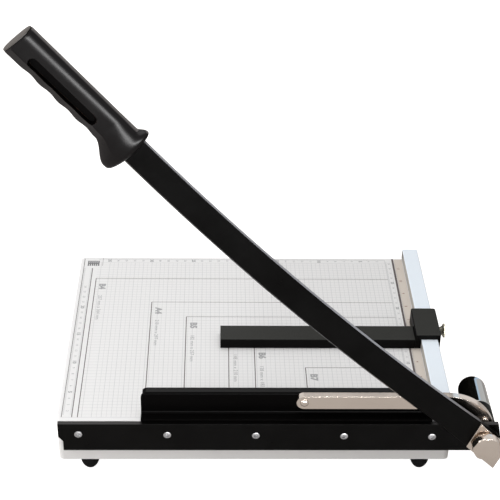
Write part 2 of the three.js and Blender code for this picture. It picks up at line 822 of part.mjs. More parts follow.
// Handle sections: heights above and below the axis and half the thickness, at a distance u from the pivot
function gripSizes(u) {
  const share = (from, to) => THREE.MathUtils.clamp((u - from) / (to - from), 0, 1);
  const topRise = share(guardTopBack, guardTopAt);
  const bottomRise = share(guardBottomBack, guardBottomAt);
  const topFall = share(guardTopAt, guardFront);
  const bottomFall = share(guardBottomAt, guardFront);
  const mix = (body, peak, collar, rise, fall) => {
    const swell = rise * rise * (3 - 2 * rise);
    return body + (peak - body) * swell + (collar - peak) * fall ** 4;
  };
  const groove = (fingerDepth * (1 - Math.cos(share(fingerFirst, fingerLast) * fingerCount * Math.PI * 2))) / 2;
  const rounding = share(gripEnd - endRound, gripEnd);
  const edge = (endRound * (1 - Math.sqrt(1 - rounding * rounding))) / 2;
  return {
    top: mix(gripTop, guardTopPeak, collarTop, topRise, topFall) - edge,
    bottom: mix(gripBottom, guardBottomPeak, collarBottom, bottomRise, bottomFall) - groove - edge,
    half: mix(gripHalfThickness, guardHalfThickness, collarHalfThickness, bottomRise, bottomFall) - edge,
    squareness: gripSquareness + (guardSquareness - gripSquareness) * bottomRise,
  };
}

function gripRing(u, sizes, shrink = 0) {
  const points = [];
  const lean = endLean * THREE.MathUtils.clamp((u - leanStart) / (gripEnd - leanStart), 0, 1);
  for (let i = 0; i < gripSectionSteps; i += 1) {
    const angle = (i / gripSectionSteps) * Math.PI * 2;
    const across = Math.sign(Math.cos(angle)) * Math.abs(Math.cos(angle)) ** (2 / sizes.squareness);
    const up = Math.sign(Math.sin(angle)) * Math.abs(Math.sin(angle)) ** (2 / sizes.squareness);
    const height = up > 0 ? sizes.top - shrink : sizes.bottom - shrink;
    const out = across * (sizes.half - shrink);
    points.push(new THREE.Vector3(-u + lean * up * height, armMiddle + out, gripAxis(u) + up * height));
  }
  return points;
}

function makeGrip() {
  const rings = [];
  for (let i = 0; i <= gripStations; i += 1) {
    const along = i / gripStations;
    const crowded = along - (gripCrowding * Math.sin(along * Math.PI * 2)) / (Math.PI * 2);
    const u = guardFront + (gripEnd - guardFront) * crowded;
    rings.push(gripRing(u, gripSizes(u)));
  }
  let grip = lofted(rings);
  grip = grip.subtract(armBody(holeClearance)).subtract(tang(holeClearance));
  // long recess in the front face, with round ends
  const first = [-pocketFirst, gripAxis(pocketFirst) - pocketDrop];
  const last = [-pocketLast, gripAxis(pocketLast) - pocketDrop];
  const shape = new THREE.Shape();
  shape.absarc(first[0], first[1], pocketHalfHeight, -Math.PI / 2 - slope, Math.PI / 2 - slope, false);
  shape.absarc(last[0], last[1], pocketHalfHeight, Math.PI / 2 - slope, (Math.PI * 3) / 2 - slope, false);
  shape.closePath();
  const face = armMiddle - gripHalfThickness;
  grip = grip.subtract(plateXZ(shape, face - cutOverrun, face + pocketDepth, 6));
  // hollow for the end cap's spigot
  const rim = gripSizes(fingerFirst);
  const wall = gripEndWall;
  grip = grip.subtract(lofted([
    gripRing(gripEnd - endCapSpigot - holeClearance, rim, wall),
    gripRing(gripEnd + cutOverrun, rim, wall),
  ]));
  for (const index of [0, 1]) {
    const u = gripScrewU(index);
    const back = armMiddle + gripHalfThickness + cutOverrun;
    const seat = armMiddle + gripHalfThickness - gripScrewHeadDepth - holeClearance;
    const tip = armMiddle - gripHalfThickness + gripScrewTip - holeClearance;
    const hole = [
      [0, tip],
      [gripScrewRadius + holeClearance, tip],
      [gripScrewRadius + holeClearance, seat],
      [gripScrewHeadRadius + holeClearance, seat],
      [gripScrewHeadRadius + holeClearance, back],
      [0, back],
    ];
    grip = grip.subtract(turnedY(hole, -u, gripAxis(u), screwSteps));
  }
  return grip;
}

function makeGripScrew(index) {
  const u = gripScrewU(index);
  const seat = armMiddle + gripHalfThickness - gripScrewHeadDepth;
  const tip = armMiddle - gripHalfThickness + gripScrewTip;
  return turnedY([
    [0, tip],
    [gripScrewRadius, tip],
    [gripScrewRadius, seat],
    [gripScrewHeadRadius, seat],
    [gripScrewHeadRadius, seat + gripScrewHeadDepth / 2],
    [0, seat + gripScrewHeadDepth / 2],
  ], -u, gripAxis(u), screwSteps);
}

function makeEndCap() {
  const sizes = gripSizes(gripEnd);
  const rim = gripSizes(fingerFirst);
  const start = gripEnd + seatGap;
  const wall = gripEndWall + holeClearance;
  const rings = [gripRing(start, sizes, endCapInset), gripRing(start + endCapThickness, sizes, endCapInset)];
  const bulgeSteps = 4;
  for (let i = 1; i <= bulgeSteps; i += 1) {
    const angle = (i / bulgeSteps) * (Math.PI / 2) * endCapBulgeShare;
    const along = start + endCapThickness + endCapBulge * Math.sin(angle);
    rings.push(gripRing(along, sizes, endCapInset + (sizes.half - endCapInset) * (1 - Math.cos(angle))));
  }
  const spigot = lofted([
    gripRing(gripEnd - endCapSpigot, rim, wall),
    gripRing(start + endCapThickness / 2, rim, wall),
  ]);
  return lofted(rings).add(spigot);
}

// Press lever, its bush and its pin

const leverMiddle = tableTop + leverTop - leverWidth / 2;

function makePressLever() {
  const top = tableTop + leverTop;
  const bottom = top - leverWidth;
  const bendZ = top - leverBendRadius;
  const bendEnd = Math.asin((pivotZ - bendZ) / leverBendRadius);
  const innerX = leverInnerBendX;
  const shape = new THREE.Shape();
  shape.moveTo(leverPinX, top);
  shape.lineTo(leverBendX, top);
  shape.absarc(leverBendX, bendZ, leverBendRadius, Math.PI / 2, bendEnd, true);
  shape.absarc(pivotX, pivotZ, leverHubRadius, 0, -Math.PI, true);
  shape.absellipse(innerX, pivotZ, pivotX - leverHubRadius - innerX, bottom - pivotZ, 0, Math.PI / 2, false, 0);
  shape.lineTo(leverPinX, bottom);
  shape.absarc(leverPinX, leverMiddle, leverWidth / 2, -Math.PI / 2, Math.PI / 2, true);
  shape.closePath();
  pierce(shape, leverPinX, leverMiddle, leverPinRadius + holeClearance);
  pierce(shape, pivotX, pivotZ, bushRadius + holeClearance);
  pierce(shape, pivotX, pivotZ + stopRise, stopStemRadius + holeClearance);
  return plateXZ(shape, leverFront, leverBack, 14);
}

function makeLeverStop() {
  const front = barThickness + runningGap;
  const seat = leverFront - seatGap;
  const end = leverBack - stopStemInset;
  return turnedY([
    [0, front],
    [stopRadius - stopCrown, front],
    [stopRadius, front + stopCrown],
    [stopRadius, seat],
    [stopStemRadius, seat],
    [stopStemRadius, end],
    [0, end],
  ], pivotX, pivotZ + stopRise, screwSteps);
}

function makeLeverPin() {
  const headSteps = 4;
  const profile = [];
  for (let i = 0; i <= headSteps; i += 1) {
    const angle = (i / headSteps) * (Math.PI / 2);
    const front = leverFront - seatGap - leverPinHeadHeight * Math.cos(angle);
    profile.push([leverPinHeadRadius * Math.sin(angle), front]);
  }
  const end = pressBarFront + pressBarWall + seatGap + leverPinNutHeight + seatGap;
  profile.push([leverPinRadius, leverFront - seatGap], [leverPinRadius, end], [0, end]);
  return turnedY(profile, leverPinX, leverMiddle, 20);
}

function makeLeverPinNut() {
  const front = pressBarFront + pressBarWall + seatGap;
  const bore = leverPinRadius + holeClearance;
  return nutY(leverPinNutWidth, bore, front, front + leverPinNutHeight, leverPinX, leverMiddle, 0);
}

// Press bar

function makePressBar() {
  const bottom = tableTop + pressBarLift;
  const top = tableTop + pressBarTop;
  const wall = pressBarWall;
  const fold = pressBarFold;
  const front = pressBarFront;
  const back = pressBarFront + pressBarFlangeDepth;
  const shape = new THREE.Shape();
  shape.moveTo(pressBarFootFront, bottom);
  shape.lineTo(front + wall - fold, bottom);
  shape.absarc(front + wall - fold, bottom + fold, fold, -Math.PI / 2, 0, false);
  shape.lineTo(front + wall, top - wall);
  shape.lineTo(back, top - wall);
  shape.lineTo(back, top);
  shape.lineTo(front + fold, top);
  shape.absarc(front + fold, top - fold, fold, Math.PI / 2, Math.PI, false);
  shape.lineTo(front, bottom + wall + fold);
  shape.absarc(front - fold, bottom + wall + fold, fold, 0, -Math.PI / 2, true);
  shape.lineTo(pressBarFootFront, bottom + wall);
  shape.closePath();
  const section = barYZ(shape, pressBarLeft, pressBarRight, 4);
  // rounded upper corners at both ends
  const radius = pressBarEndRadius;
  const ends = new THREE.Shape();
  ends.moveTo(pressBarLeft, bottom - cutOverrun);
  ends.lineTo(pressBarRight, bottom - cutOverrun);
  ends.lineTo(pressBarRight, top - radius);
  ends.absarc(pressBarRight - radius, top - radius, radius, 0, Math.PI / 2, false);
  ends.lineTo(pressBarLeft + radius, top);
  ends.absarc(pressBarLeft + radius, top - radius, radius, Math.PI / 2, Math.PI, false);
  ends.closePath();
  const cornered = plateXZ(ends, pressBarFootFront - cutOverrun, back + cutOverrun, 6);
  const pinHole = rod(leverPinRadius + holeClearance, front - cutOverrun, back, leverPinX, leverMiddle, screwSteps);
  return section.intersect(cornered).subtract(pinHole);
}

// Back gauge

const blockLeft = -runningGap - blockWall;
const blockFront = gaugeFront;
const gaugeMiddle = gaugeFront + gaugeDepth / 2;
const gaugeScrewZ = tableTop + (gaugeLift + gaugeTop) / 2;
const gaugeScrewHead = panScrewHeadRadius + holeClearance;
const gaugeRight = blockLeft - seatGap;

function gaugeScrewY(index) {
  return gaugeMiddle + (index - 0.5) * gaugeScrewSpacing;
}

function makeGaugeBar() {
  const bottom = tableTop + gaugeLift;
  const top = tableTop + gaugeTop;
  const back = gaugeFront + gaugeDepth;
  const shape = new THREE.Shape();
  shape.moveTo(gaugeFront, bottom);
  shape.lineTo(back, bottom);
  shape.lineTo(back, top - gaugeBackRadius);
  shape.absarc(back - gaugeBackRadius, top - gaugeBackRadius, gaugeBackRadius, 0, Math.PI / 2, false);
  shape.lineTo(gaugeFront + gaugeEdgeRadius, top);
  shape.absarc(gaugeFront + gaugeEdgeRadius, top - gaugeEdgeRadius, gaugeEdgeRadius, Math.PI / 2, Math.PI, false);
  shape.closePath();
  let bar = barYZ(shape, gaugeLeft, gaugeRight);
  for (const index of [0, 1]) {
    const radius = panScrewRadius + holeClearance;
    const end = gaugeRight - gaugeScrewGrip - holeClearance;
    const start = gaugeRight + cutOverrun;
    const hole = [[0, end], [radius, end], [radius, start], [0, start]];
    bar = bar.subtract(turnedX(hole, gaugeScrewY(index), gaugeScrewZ, screwSteps));
  }
  return bar;
}

function makeGaugeBlock() {
  const roof = tableTop + fenceTop + runningGap;
  const top = roof + blockRoof;
  const innerLeft = -runningGap;
  const innerRight = fenceWidth + runningGap;
  const right = innerRight + blockLeg;
  const points = [
    [blockLeft, tableTop + gaugeLift],
    [innerLeft, tableTop + gaugeLift],
    [innerLeft, roof],
    [innerRight, roof],
    [innerRight, tableTop - blockLegReach],
    [right, tableTop - blockLegReach],
    [right, top - blockEdge],
    [right - blockEdge, top],
    [blockLeft + blockEdge, top],
    [blockLeft, top - blockEdge],
  ];
  const saddle = plateXZ(polygon(points), blockFront, blockFront + blockLength);
  const radius = blockCornerRadius;
  const front = blockFront;
  const back = blockFront + blockLength;
  const plan = new THREE.Shape();
  plan.moveTo(blockLeft, front);
  plan.lineTo(right - radius, front);
  plan.absarc(right - radius, front + radius, radius, -Math.PI / 2, 0, false);
  plan.lineTo(right, back - radius);
  plan.absarc(right - radius, back - radius, radius, 0, Math.PI / 2, false);
  plan.lineTo(blockLeft + radius, back);
  plan.absarc(blockLeft + radius, back - radius, radius, Math.PI / 2, Math.PI, false);
  plan.closePath();
  let block = saddle.intersect(blockXY(plan, tableTop - blockLegReach - cutOverrun, top + cutOverrun, 4));
  const seat = innerLeft - panScrewHeadHeight - 2 * holeClearance;
  for (const index of [0, 1]) {
    const radiusClear = panScrewRadius + holeClearance;
    const hole = [
      [0, blockLeft - cutOverrun],
      [radiusClear, blockLeft - cutOverrun],
      [radiusClear, seat],
      [gaugeScrewHead, seat],
      [gaugeScrewHead, innerLeft + cutOverrun],
      [0, innerLeft + cutOverrun],
    ];
    block = block.subtract(turnedX(hole, gaugeScrewY(index), gaugeScrewZ, screwSteps));
  }
  const thumbHole = thumbRadius + holeClearance;
  const hole = [
    [0, innerRight - cutOverrun],
    [thumbHole, innerRight - cutOverrun],
    [thumbHole, right + cutOverrun],
    [0, right + cutOverrun],
  ];
  return block.subtract(turnedX(hole, blockFront + blockLength / 2, tableTop + thumbHeight, screwSteps));
}

function makeGaugeScrew(index) {
  const seat = -runningGap - panScrewHeadHeight - holeClearance;
  const tip = gaugeRight - gaugeScrewGrip;
  const head = seat + panScrewHeadHeight;
  return turnedX([
    [0, tip],
    [panScrewRadius, tip],
    [panScrewRadius, seat],
    [panScrewHeadRadius, seat],
    [panScrewHeadRadius, seat + panScrewHeadHeight / 2],
    [panScrewHeadRadius / 2, head],
    [0, head],
  ], gaugeScrewY(index), gaugeScrewZ, screwSteps);
}

function makeThumbscrew() {
  const tip = fenceWidth + seatGap;
  const face = fenceWidth + runningGap + blockLeg + seatGap;
  const flare = face + thumbNeckLength;
  const rim = flare + thumbFlareLength;
  const end = rim + thumbRimLength;
  const profile = [
    [0, tip],
    [thumbRadius, tip],
    [thumbRadius, face],
    [thumbNeckRadius, face],
    [thumbNeckRadius, flare],
  ];
  const flareSteps = 5;
  for (let i = 1; i <= flareSteps; i += 1) {
    const angle = (i / flareSteps) * (Math.PI / 2);
    const radius = thumbHeadRadius - (thumbHeadRadius - thumbNeckRadius) * Math.cos(angle);
    profile.push([radius, flare + thumbFlareLength * Math.sin(angle) ** 2]);
  }
  profile.push([thumbHeadRadius, end], [thumbHeadRadius - thumbDishDepth, end]);
  profile.push([thumbHeadRadius / 2, end - thumbDishDepth], [0, end - thumbDishDepth]);
  return turnedX(profile, blockFront + blockLength / 2, tableTop + thumbHeight, 24);
}

// Assembly

const cutter = new THREE.Group();
const base = new THREE.Group();
const press = new THREE.Group();
const gauge = new THREE.Group();
const arm = new THREE.Group();
cutter.add(base, press, gauge, arm);

addPart(base, 'baseboard', makeBaseboard(), 'tablePaint');
addPart(base, 'fixed_blade', makeFixedBlade(), 'blackPaint');
for (let i = 0; i < bladeScrewCount; i += 1) {
  addPart(base, `blade_screw_${i + 1}`, makeBladeScrew(i), 'zinc');
  addPart(base, `blade_nut_${i + 1}`, makeBladeNut(i), 'zinc');
}
addPart(base, 'side_fence', makeFence(), 'fencePaint');
for (let i = 0; i < fenceScrewCount; i += 1) {
  addPart(base, `fence_screw_${i + 1}`, makeFenceScrew(i), 'zinc');
}
footPlaces.forEach((place, i) => {
  const seat = tableBottom + sheetThickness + seatGap;
  const length = footScrewLength + sheetThickness + seatGap;
  addPart(base, `foot_${i + 1}`, makeFoot(place), 'rubber');
  addPart(base, `foot_screw_${i + 1}`, panScrewZ(seat, length, -1, ...place), 'zinc');
});

addPart(base, 'pivot_bolt', makePivotBolt(), 'nickel');
const lockWasherFront = lockWasherBack - lockWasherThickness;
const boltBore = boltRadius + holeClearance;
const tailBore = boltTailRadius + holeClearance;
const tailWasherBack = tailWasherFront + tailWasherThickness;
const lockWasher = ring(boltBore, lockWasherRadius, lockWasherFront, lockWasherBack, pivotX, pivotZ);
const spacer = ring(boltBore, spacerRadius, spacerFront, spacerFront + spacerThickness, pivotX, pivotZ);
const bush = ring(boltBore, bushRadius, leverFront, leverBack, pivotX, pivotZ);
const tailWasher = ring(tailBore, tailWasherRadius, tailWasherFront, tailWasherBack, pivotX, pivotZ);
const pivotNutBack = pivotNutFront + pivotNutHeight;
addPart(base, 'bolt_washer', lockWasher, 'nickel');
addPart(base, 'pivot_spacer', spacer, 'nickel');
addPart(base, 'pivot_boss', makeBoss(), 'blackPaint');
addPart(base, 'spring_barrel', makeBarrel(), 'chrome');
addPart(base, 'pivot_spring', makeSpring(), 'zinc');
addPart(base, 'tail_washer', tailWasher, 'zinc');
addPart(base, 'pivot_nut', nutY(pivotNutWidth, tailBore, pivotNutFront, pivotNutBack, pivotX, pivotZ, 0), 'zinc');

addPart(press, 'press_lever', makePressLever(), 'nickel');
addPart(press, 'lever_bush', bush, 'brass');
addPart(press, 'lever_stop', makeLeverStop(), 'nickel');
addPart(press, 'press_bar', makePressBar(), 'blackPaint');
addPart(press, 'lever_pin', makeLeverPin(), 'nickel');
addPart(press, 'lever_pin_nut', makeLeverPinNut(), 'zinc');

addPart(gauge, 'gauge_bar', makeGaugeBar(), 'gaugePaint');
addPart(gauge, 'gauge_block', makeGaugeBlock(), 'gaugePaint');
for (const index of [0, 1]) {
  addPart(gauge, `gauge_screw_${index + 1}`, makeGaugeScrew(index), 'zinc');
}
addPart(gauge, 'gauge_thumbscrew', makeThumbscrew(), 'brass');

addPart(arm, 'knife_arm', makeKnifeArm(), 'blackPaint');
addPart(arm, 'pivot_plate', makePivotPlate(), 'nickel');
addPart(arm, 'handle_grip', makeGrip(), 'blackPlastic');
addPart(arm, 'handle_end_cap', makeEndCap(), 'capPlastic');
for (const index of [0, 1]) {
  addPart(arm, `handle_screw_${index + 1}`, makeGripScrew(index), 'zinc');
}
arm.position.set(pivotX, 0, pivotZ);
arm.rotation.y = THREE.MathUtils.degToRad(restAngle);

// The origin is on the desk, below the middle of the cutter's outline at rest
cutter.updateMatrixWorld(true);
const outline = new THREE.Box3().setFromObject(cutter, true);
const middle = outline.getCenter(new THREE.Vector3());
cutter.position.set(-middle.x, -middle.y, -outline.min.z);
cutter.updateMatrixWorld(true);

export default cutter;
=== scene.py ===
import json

import bmesh
import bpy
from math import atan2, cos, hypot, pi, radians, sin, sqrt, tan, tau
from mathutils import Matrix, Vector


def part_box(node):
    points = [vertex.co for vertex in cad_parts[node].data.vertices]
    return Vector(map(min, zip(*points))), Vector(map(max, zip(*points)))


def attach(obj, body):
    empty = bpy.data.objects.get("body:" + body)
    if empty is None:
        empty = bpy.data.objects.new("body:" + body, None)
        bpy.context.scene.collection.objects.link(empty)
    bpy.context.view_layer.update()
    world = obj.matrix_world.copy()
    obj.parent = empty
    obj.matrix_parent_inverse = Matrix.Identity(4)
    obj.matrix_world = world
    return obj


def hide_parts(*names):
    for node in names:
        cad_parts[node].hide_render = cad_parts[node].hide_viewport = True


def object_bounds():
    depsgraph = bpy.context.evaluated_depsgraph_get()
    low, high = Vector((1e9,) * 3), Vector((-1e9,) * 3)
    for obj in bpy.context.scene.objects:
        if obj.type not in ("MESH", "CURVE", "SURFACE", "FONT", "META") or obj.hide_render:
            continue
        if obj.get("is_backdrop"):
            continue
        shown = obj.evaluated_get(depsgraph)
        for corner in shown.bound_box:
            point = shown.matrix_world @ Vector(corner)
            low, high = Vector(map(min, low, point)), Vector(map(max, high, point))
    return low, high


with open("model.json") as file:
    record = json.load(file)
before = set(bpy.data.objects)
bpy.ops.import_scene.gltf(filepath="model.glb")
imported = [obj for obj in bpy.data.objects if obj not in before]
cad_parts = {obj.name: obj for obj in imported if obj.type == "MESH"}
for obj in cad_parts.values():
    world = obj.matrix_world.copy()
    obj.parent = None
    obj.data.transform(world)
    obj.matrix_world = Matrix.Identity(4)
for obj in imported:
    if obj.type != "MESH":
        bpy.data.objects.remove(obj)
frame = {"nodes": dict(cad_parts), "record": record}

cadLow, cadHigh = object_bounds()
scene = bpy.context.scene
scene.view_settings.view_transform = "Standard"
mm = 0.001
shiftedBy = Matrix.Translation

# The object's own zero lines: the side fence's inner face, the cutting plane and the board's upper face
fenceFromBladeEnd = 383.3
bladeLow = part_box("fixed_blade")[0]
zeroX = bladeLow.x + fenceFromBladeEnd * mm
zeroY = bladeLow.y
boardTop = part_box("baseboard")[1].z


def at(x, y, z=0.0):  # millimetres from those zero lines
    return Vector((zeroX + x * mm, zeroY + y * mm, boardTop + z * mm))


def middleOf(node):
    low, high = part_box(node)
    return (low + high) / 2


record = frame["record"]
bodyOf = {node: body for body, nodes in record["behaviour"]["bodies"].items() for node in nodes}
pivot = middleOf("pivot_bolt")


def addNode(tree, kind, settings=None, **inputs):
    made = tree.nodes.new(kind)
    for key, value in (settings or {}).items():
        setattr(made, key, value)
    for key, value in inputs.items():
        join(tree, value, made.inputs[key.replace("_", " ")])
    return made


def join(tree, value, socket):  # a link or a plain value
    if isinstance(value, bpy.types.NodeSocket):
        tree.links.new(value, socket)
    elif socket.type == "RGBA" and len(value) == 3:
        socket.default_value = (*value, 1.0)
    else:
        socket.default_value = value


def sums(tree, operation, a, b=0.0, clamp=False):
    made = addNode(tree, "ShaderNodeMath", {"operation": operation, "use_clamp": clamp})
    join(tree, a, made.inputs[0])
    join(tree, b, made.inputs[1])
    return made.outputs[0]


def blendColours(tree, factor, a, b):
    made = addNode(tree, "ShaderNodeMix", {"data_type": "RGBA"})
    for index, value in ((0, factor), (6, a), (7, b)):
        join(tree, value, made.inputs[index])
    return made.outputs[2]


def spread(tree, value, low, high, toLow, toHigh):
    made = addNode(tree, "ShaderNodeMapRange")
    for socket, number in zip(made.inputs, (value, low, high, toLow, toHigh)):
        join(tree, number, socket)
    return made.outputs[0]


def along(tree, vector, direction):  # how far a vector reaches in a direction
    made = addNode(tree, "ShaderNodeVectorMath", {"operation": "DOT_PRODUCT"})
    join(tree, vector, made.inputs[0])
    join(tree, direction, made.inputs[1])
    return made.outputs["Value"]


# A finish: two clouded colours, roughness with fine grain, bump, rubbed edges (a painted rim highlight on the pocket)
# and, on some, a painted band: lighter as a painted highlight, darker on the fence as painted shade
finishSettings = dict(
    cloud=(0.3, 0.7), edge=(0.985, 0.8), patchScale=160.0, patch=(0.42, 0.62), paintedLightEdge=(0.955, 0.985),
    paintedLightBlend=2.0, paintedLightStreaks=(0.75, 1.0), fineScale=900.0, bumpDepth=0.03)


def surface(name, look):
    w = finishSettings
    made = bpy.data.materials.new(name)
    made.use_nodes = True
    tree = made.node_tree
    shader = tree.nodes["Principled BSDF"]
    shader.inputs["Metallic"].default_value = look.get("metallic", 0.0)
    shader.inputs["Specular IOR Level"].default_value = look.get("specular", 0.5)
    coordinates = addNode(tree, "ShaderNodeTexCoord")
    where = coordinates.outputs["Object"]
    place = where
    if "grain" in look:  # brushed or rolled along one direction
        place = addNode(tree, "ShaderNodeMapping", Vector=where, Scale=look["grain"]).outputs[0]
    cloud = addNode(tree, "ShaderNodeTexNoise", Vector=where, Scale=look["cloudScale"], Detail=4.0, Roughness=0.6)
    fineScale = look.get("fineScale", w["fineScale"])
    fine = addNode(tree, "ShaderNodeTexNoise", Vector=place, Scale=fineScale, Detail=3.0, Roughness=0.55)
    colour = blendColours(tree, cloud.outputs[0], look["colour"], look["second"])
    grain = sums(tree, "MULTIPLY", sums(tree, "SUBTRACT", fine.outputs[0], 0.5), look.get("fineRough", 0.1))
    rough = sums(tree, "ADD", spread(tree, cloud.outputs[0], *w["cloud"], *look["roughness"]), grain)
    rounded = addNode(tree, "ShaderNodeBevel", {"samples": 4}, Radius=look.get("rounding", 0.35) * mm)
    if "wearAndRimSheen" in look:  # rubbed along the edges; on the pocket's faces the same edge mask paints a warm highlight along the rim
        flat = addNode(tree, "ShaderNodeNewGeometry").outputs["Normal"]
        edge = spread(tree, along(tree, rounded.outputs[0], flat), *w["edge"], 0.0, 1.0)
        patch = addNode(tree, "ShaderNodeTexNoise", Vector=where, Scale=w["patchScale"], Detail=5.0)
        edgeWearAndSheen = sums(tree, "MULTIPLY", edge, spread(tree, patch.outputs[0], *w["patch"], 0.0, look["wearAndRimSheen"]))
        colour = blendColours(tree, edgeWearAndSheen, colour, look["wearAndRimSheenColour"])
    if "paintedLightStrip" in look:  # a painted band on the faces that point one way, from a place on: a painted highlight, on the fence painted shade
        facing, start, direction = look["paintedLightStrip"]
        far = along(tree, where, direction)
        if "paintedLightMiddle" in look:  # measured both ways from there
            far = sums(tree, "ABSOLUTE", sums(tree, "SUBTRACT", far, look["paintedLightMiddle"]))
        towards = along(tree, coordinates.outputs["Normal"], facing)
        paintedLightStrip = spread(tree, towards, *look.get("paintedLightEdge", w["paintedLightEdge"]), 0.0, 1.0)
        fadeEnd = start + look.get("paintedLightFade", 1.0) * mm
        fade = spread(tree, far, start, fadeEnd, look.get("paintedLightFirst", 1.0), 1.0)
        blend = w["paintedLightBlend"] * mm
        reach = sums(tree, "MULTIPLY", spread(tree, far, start - blend, start + blend, 0.0, 1.0), fade)
        paintedLightStreaks = spread(tree, fine.outputs[0], *w["cloud"], *w["paintedLightStreaks"])
        shown = sums(tree, "MULTIPLY", sums(tree, "MULTIPLY", paintedLightStrip, reach), paintedLightStreaks)
        colour = blendColours(tree, shown, colour, look["paintedLightColour"])
    join(tree, colour, shader.inputs["Base Color"])
    join(tree, rough, shader.inputs["Roughness"])
    depth = look.get("bumpDepth", w["bumpDepth"]) * mm
    bump = addNode(tree, "ShaderNodeBump", Strength=look["bump"], Distance=depth, Height=fine.outputs[0],
                   Normal=rounded.outputs[0])
    join(tree, bump.outputs[0], shader.inputs["Normal"])
    return made


pressLow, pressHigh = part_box("press_bar")
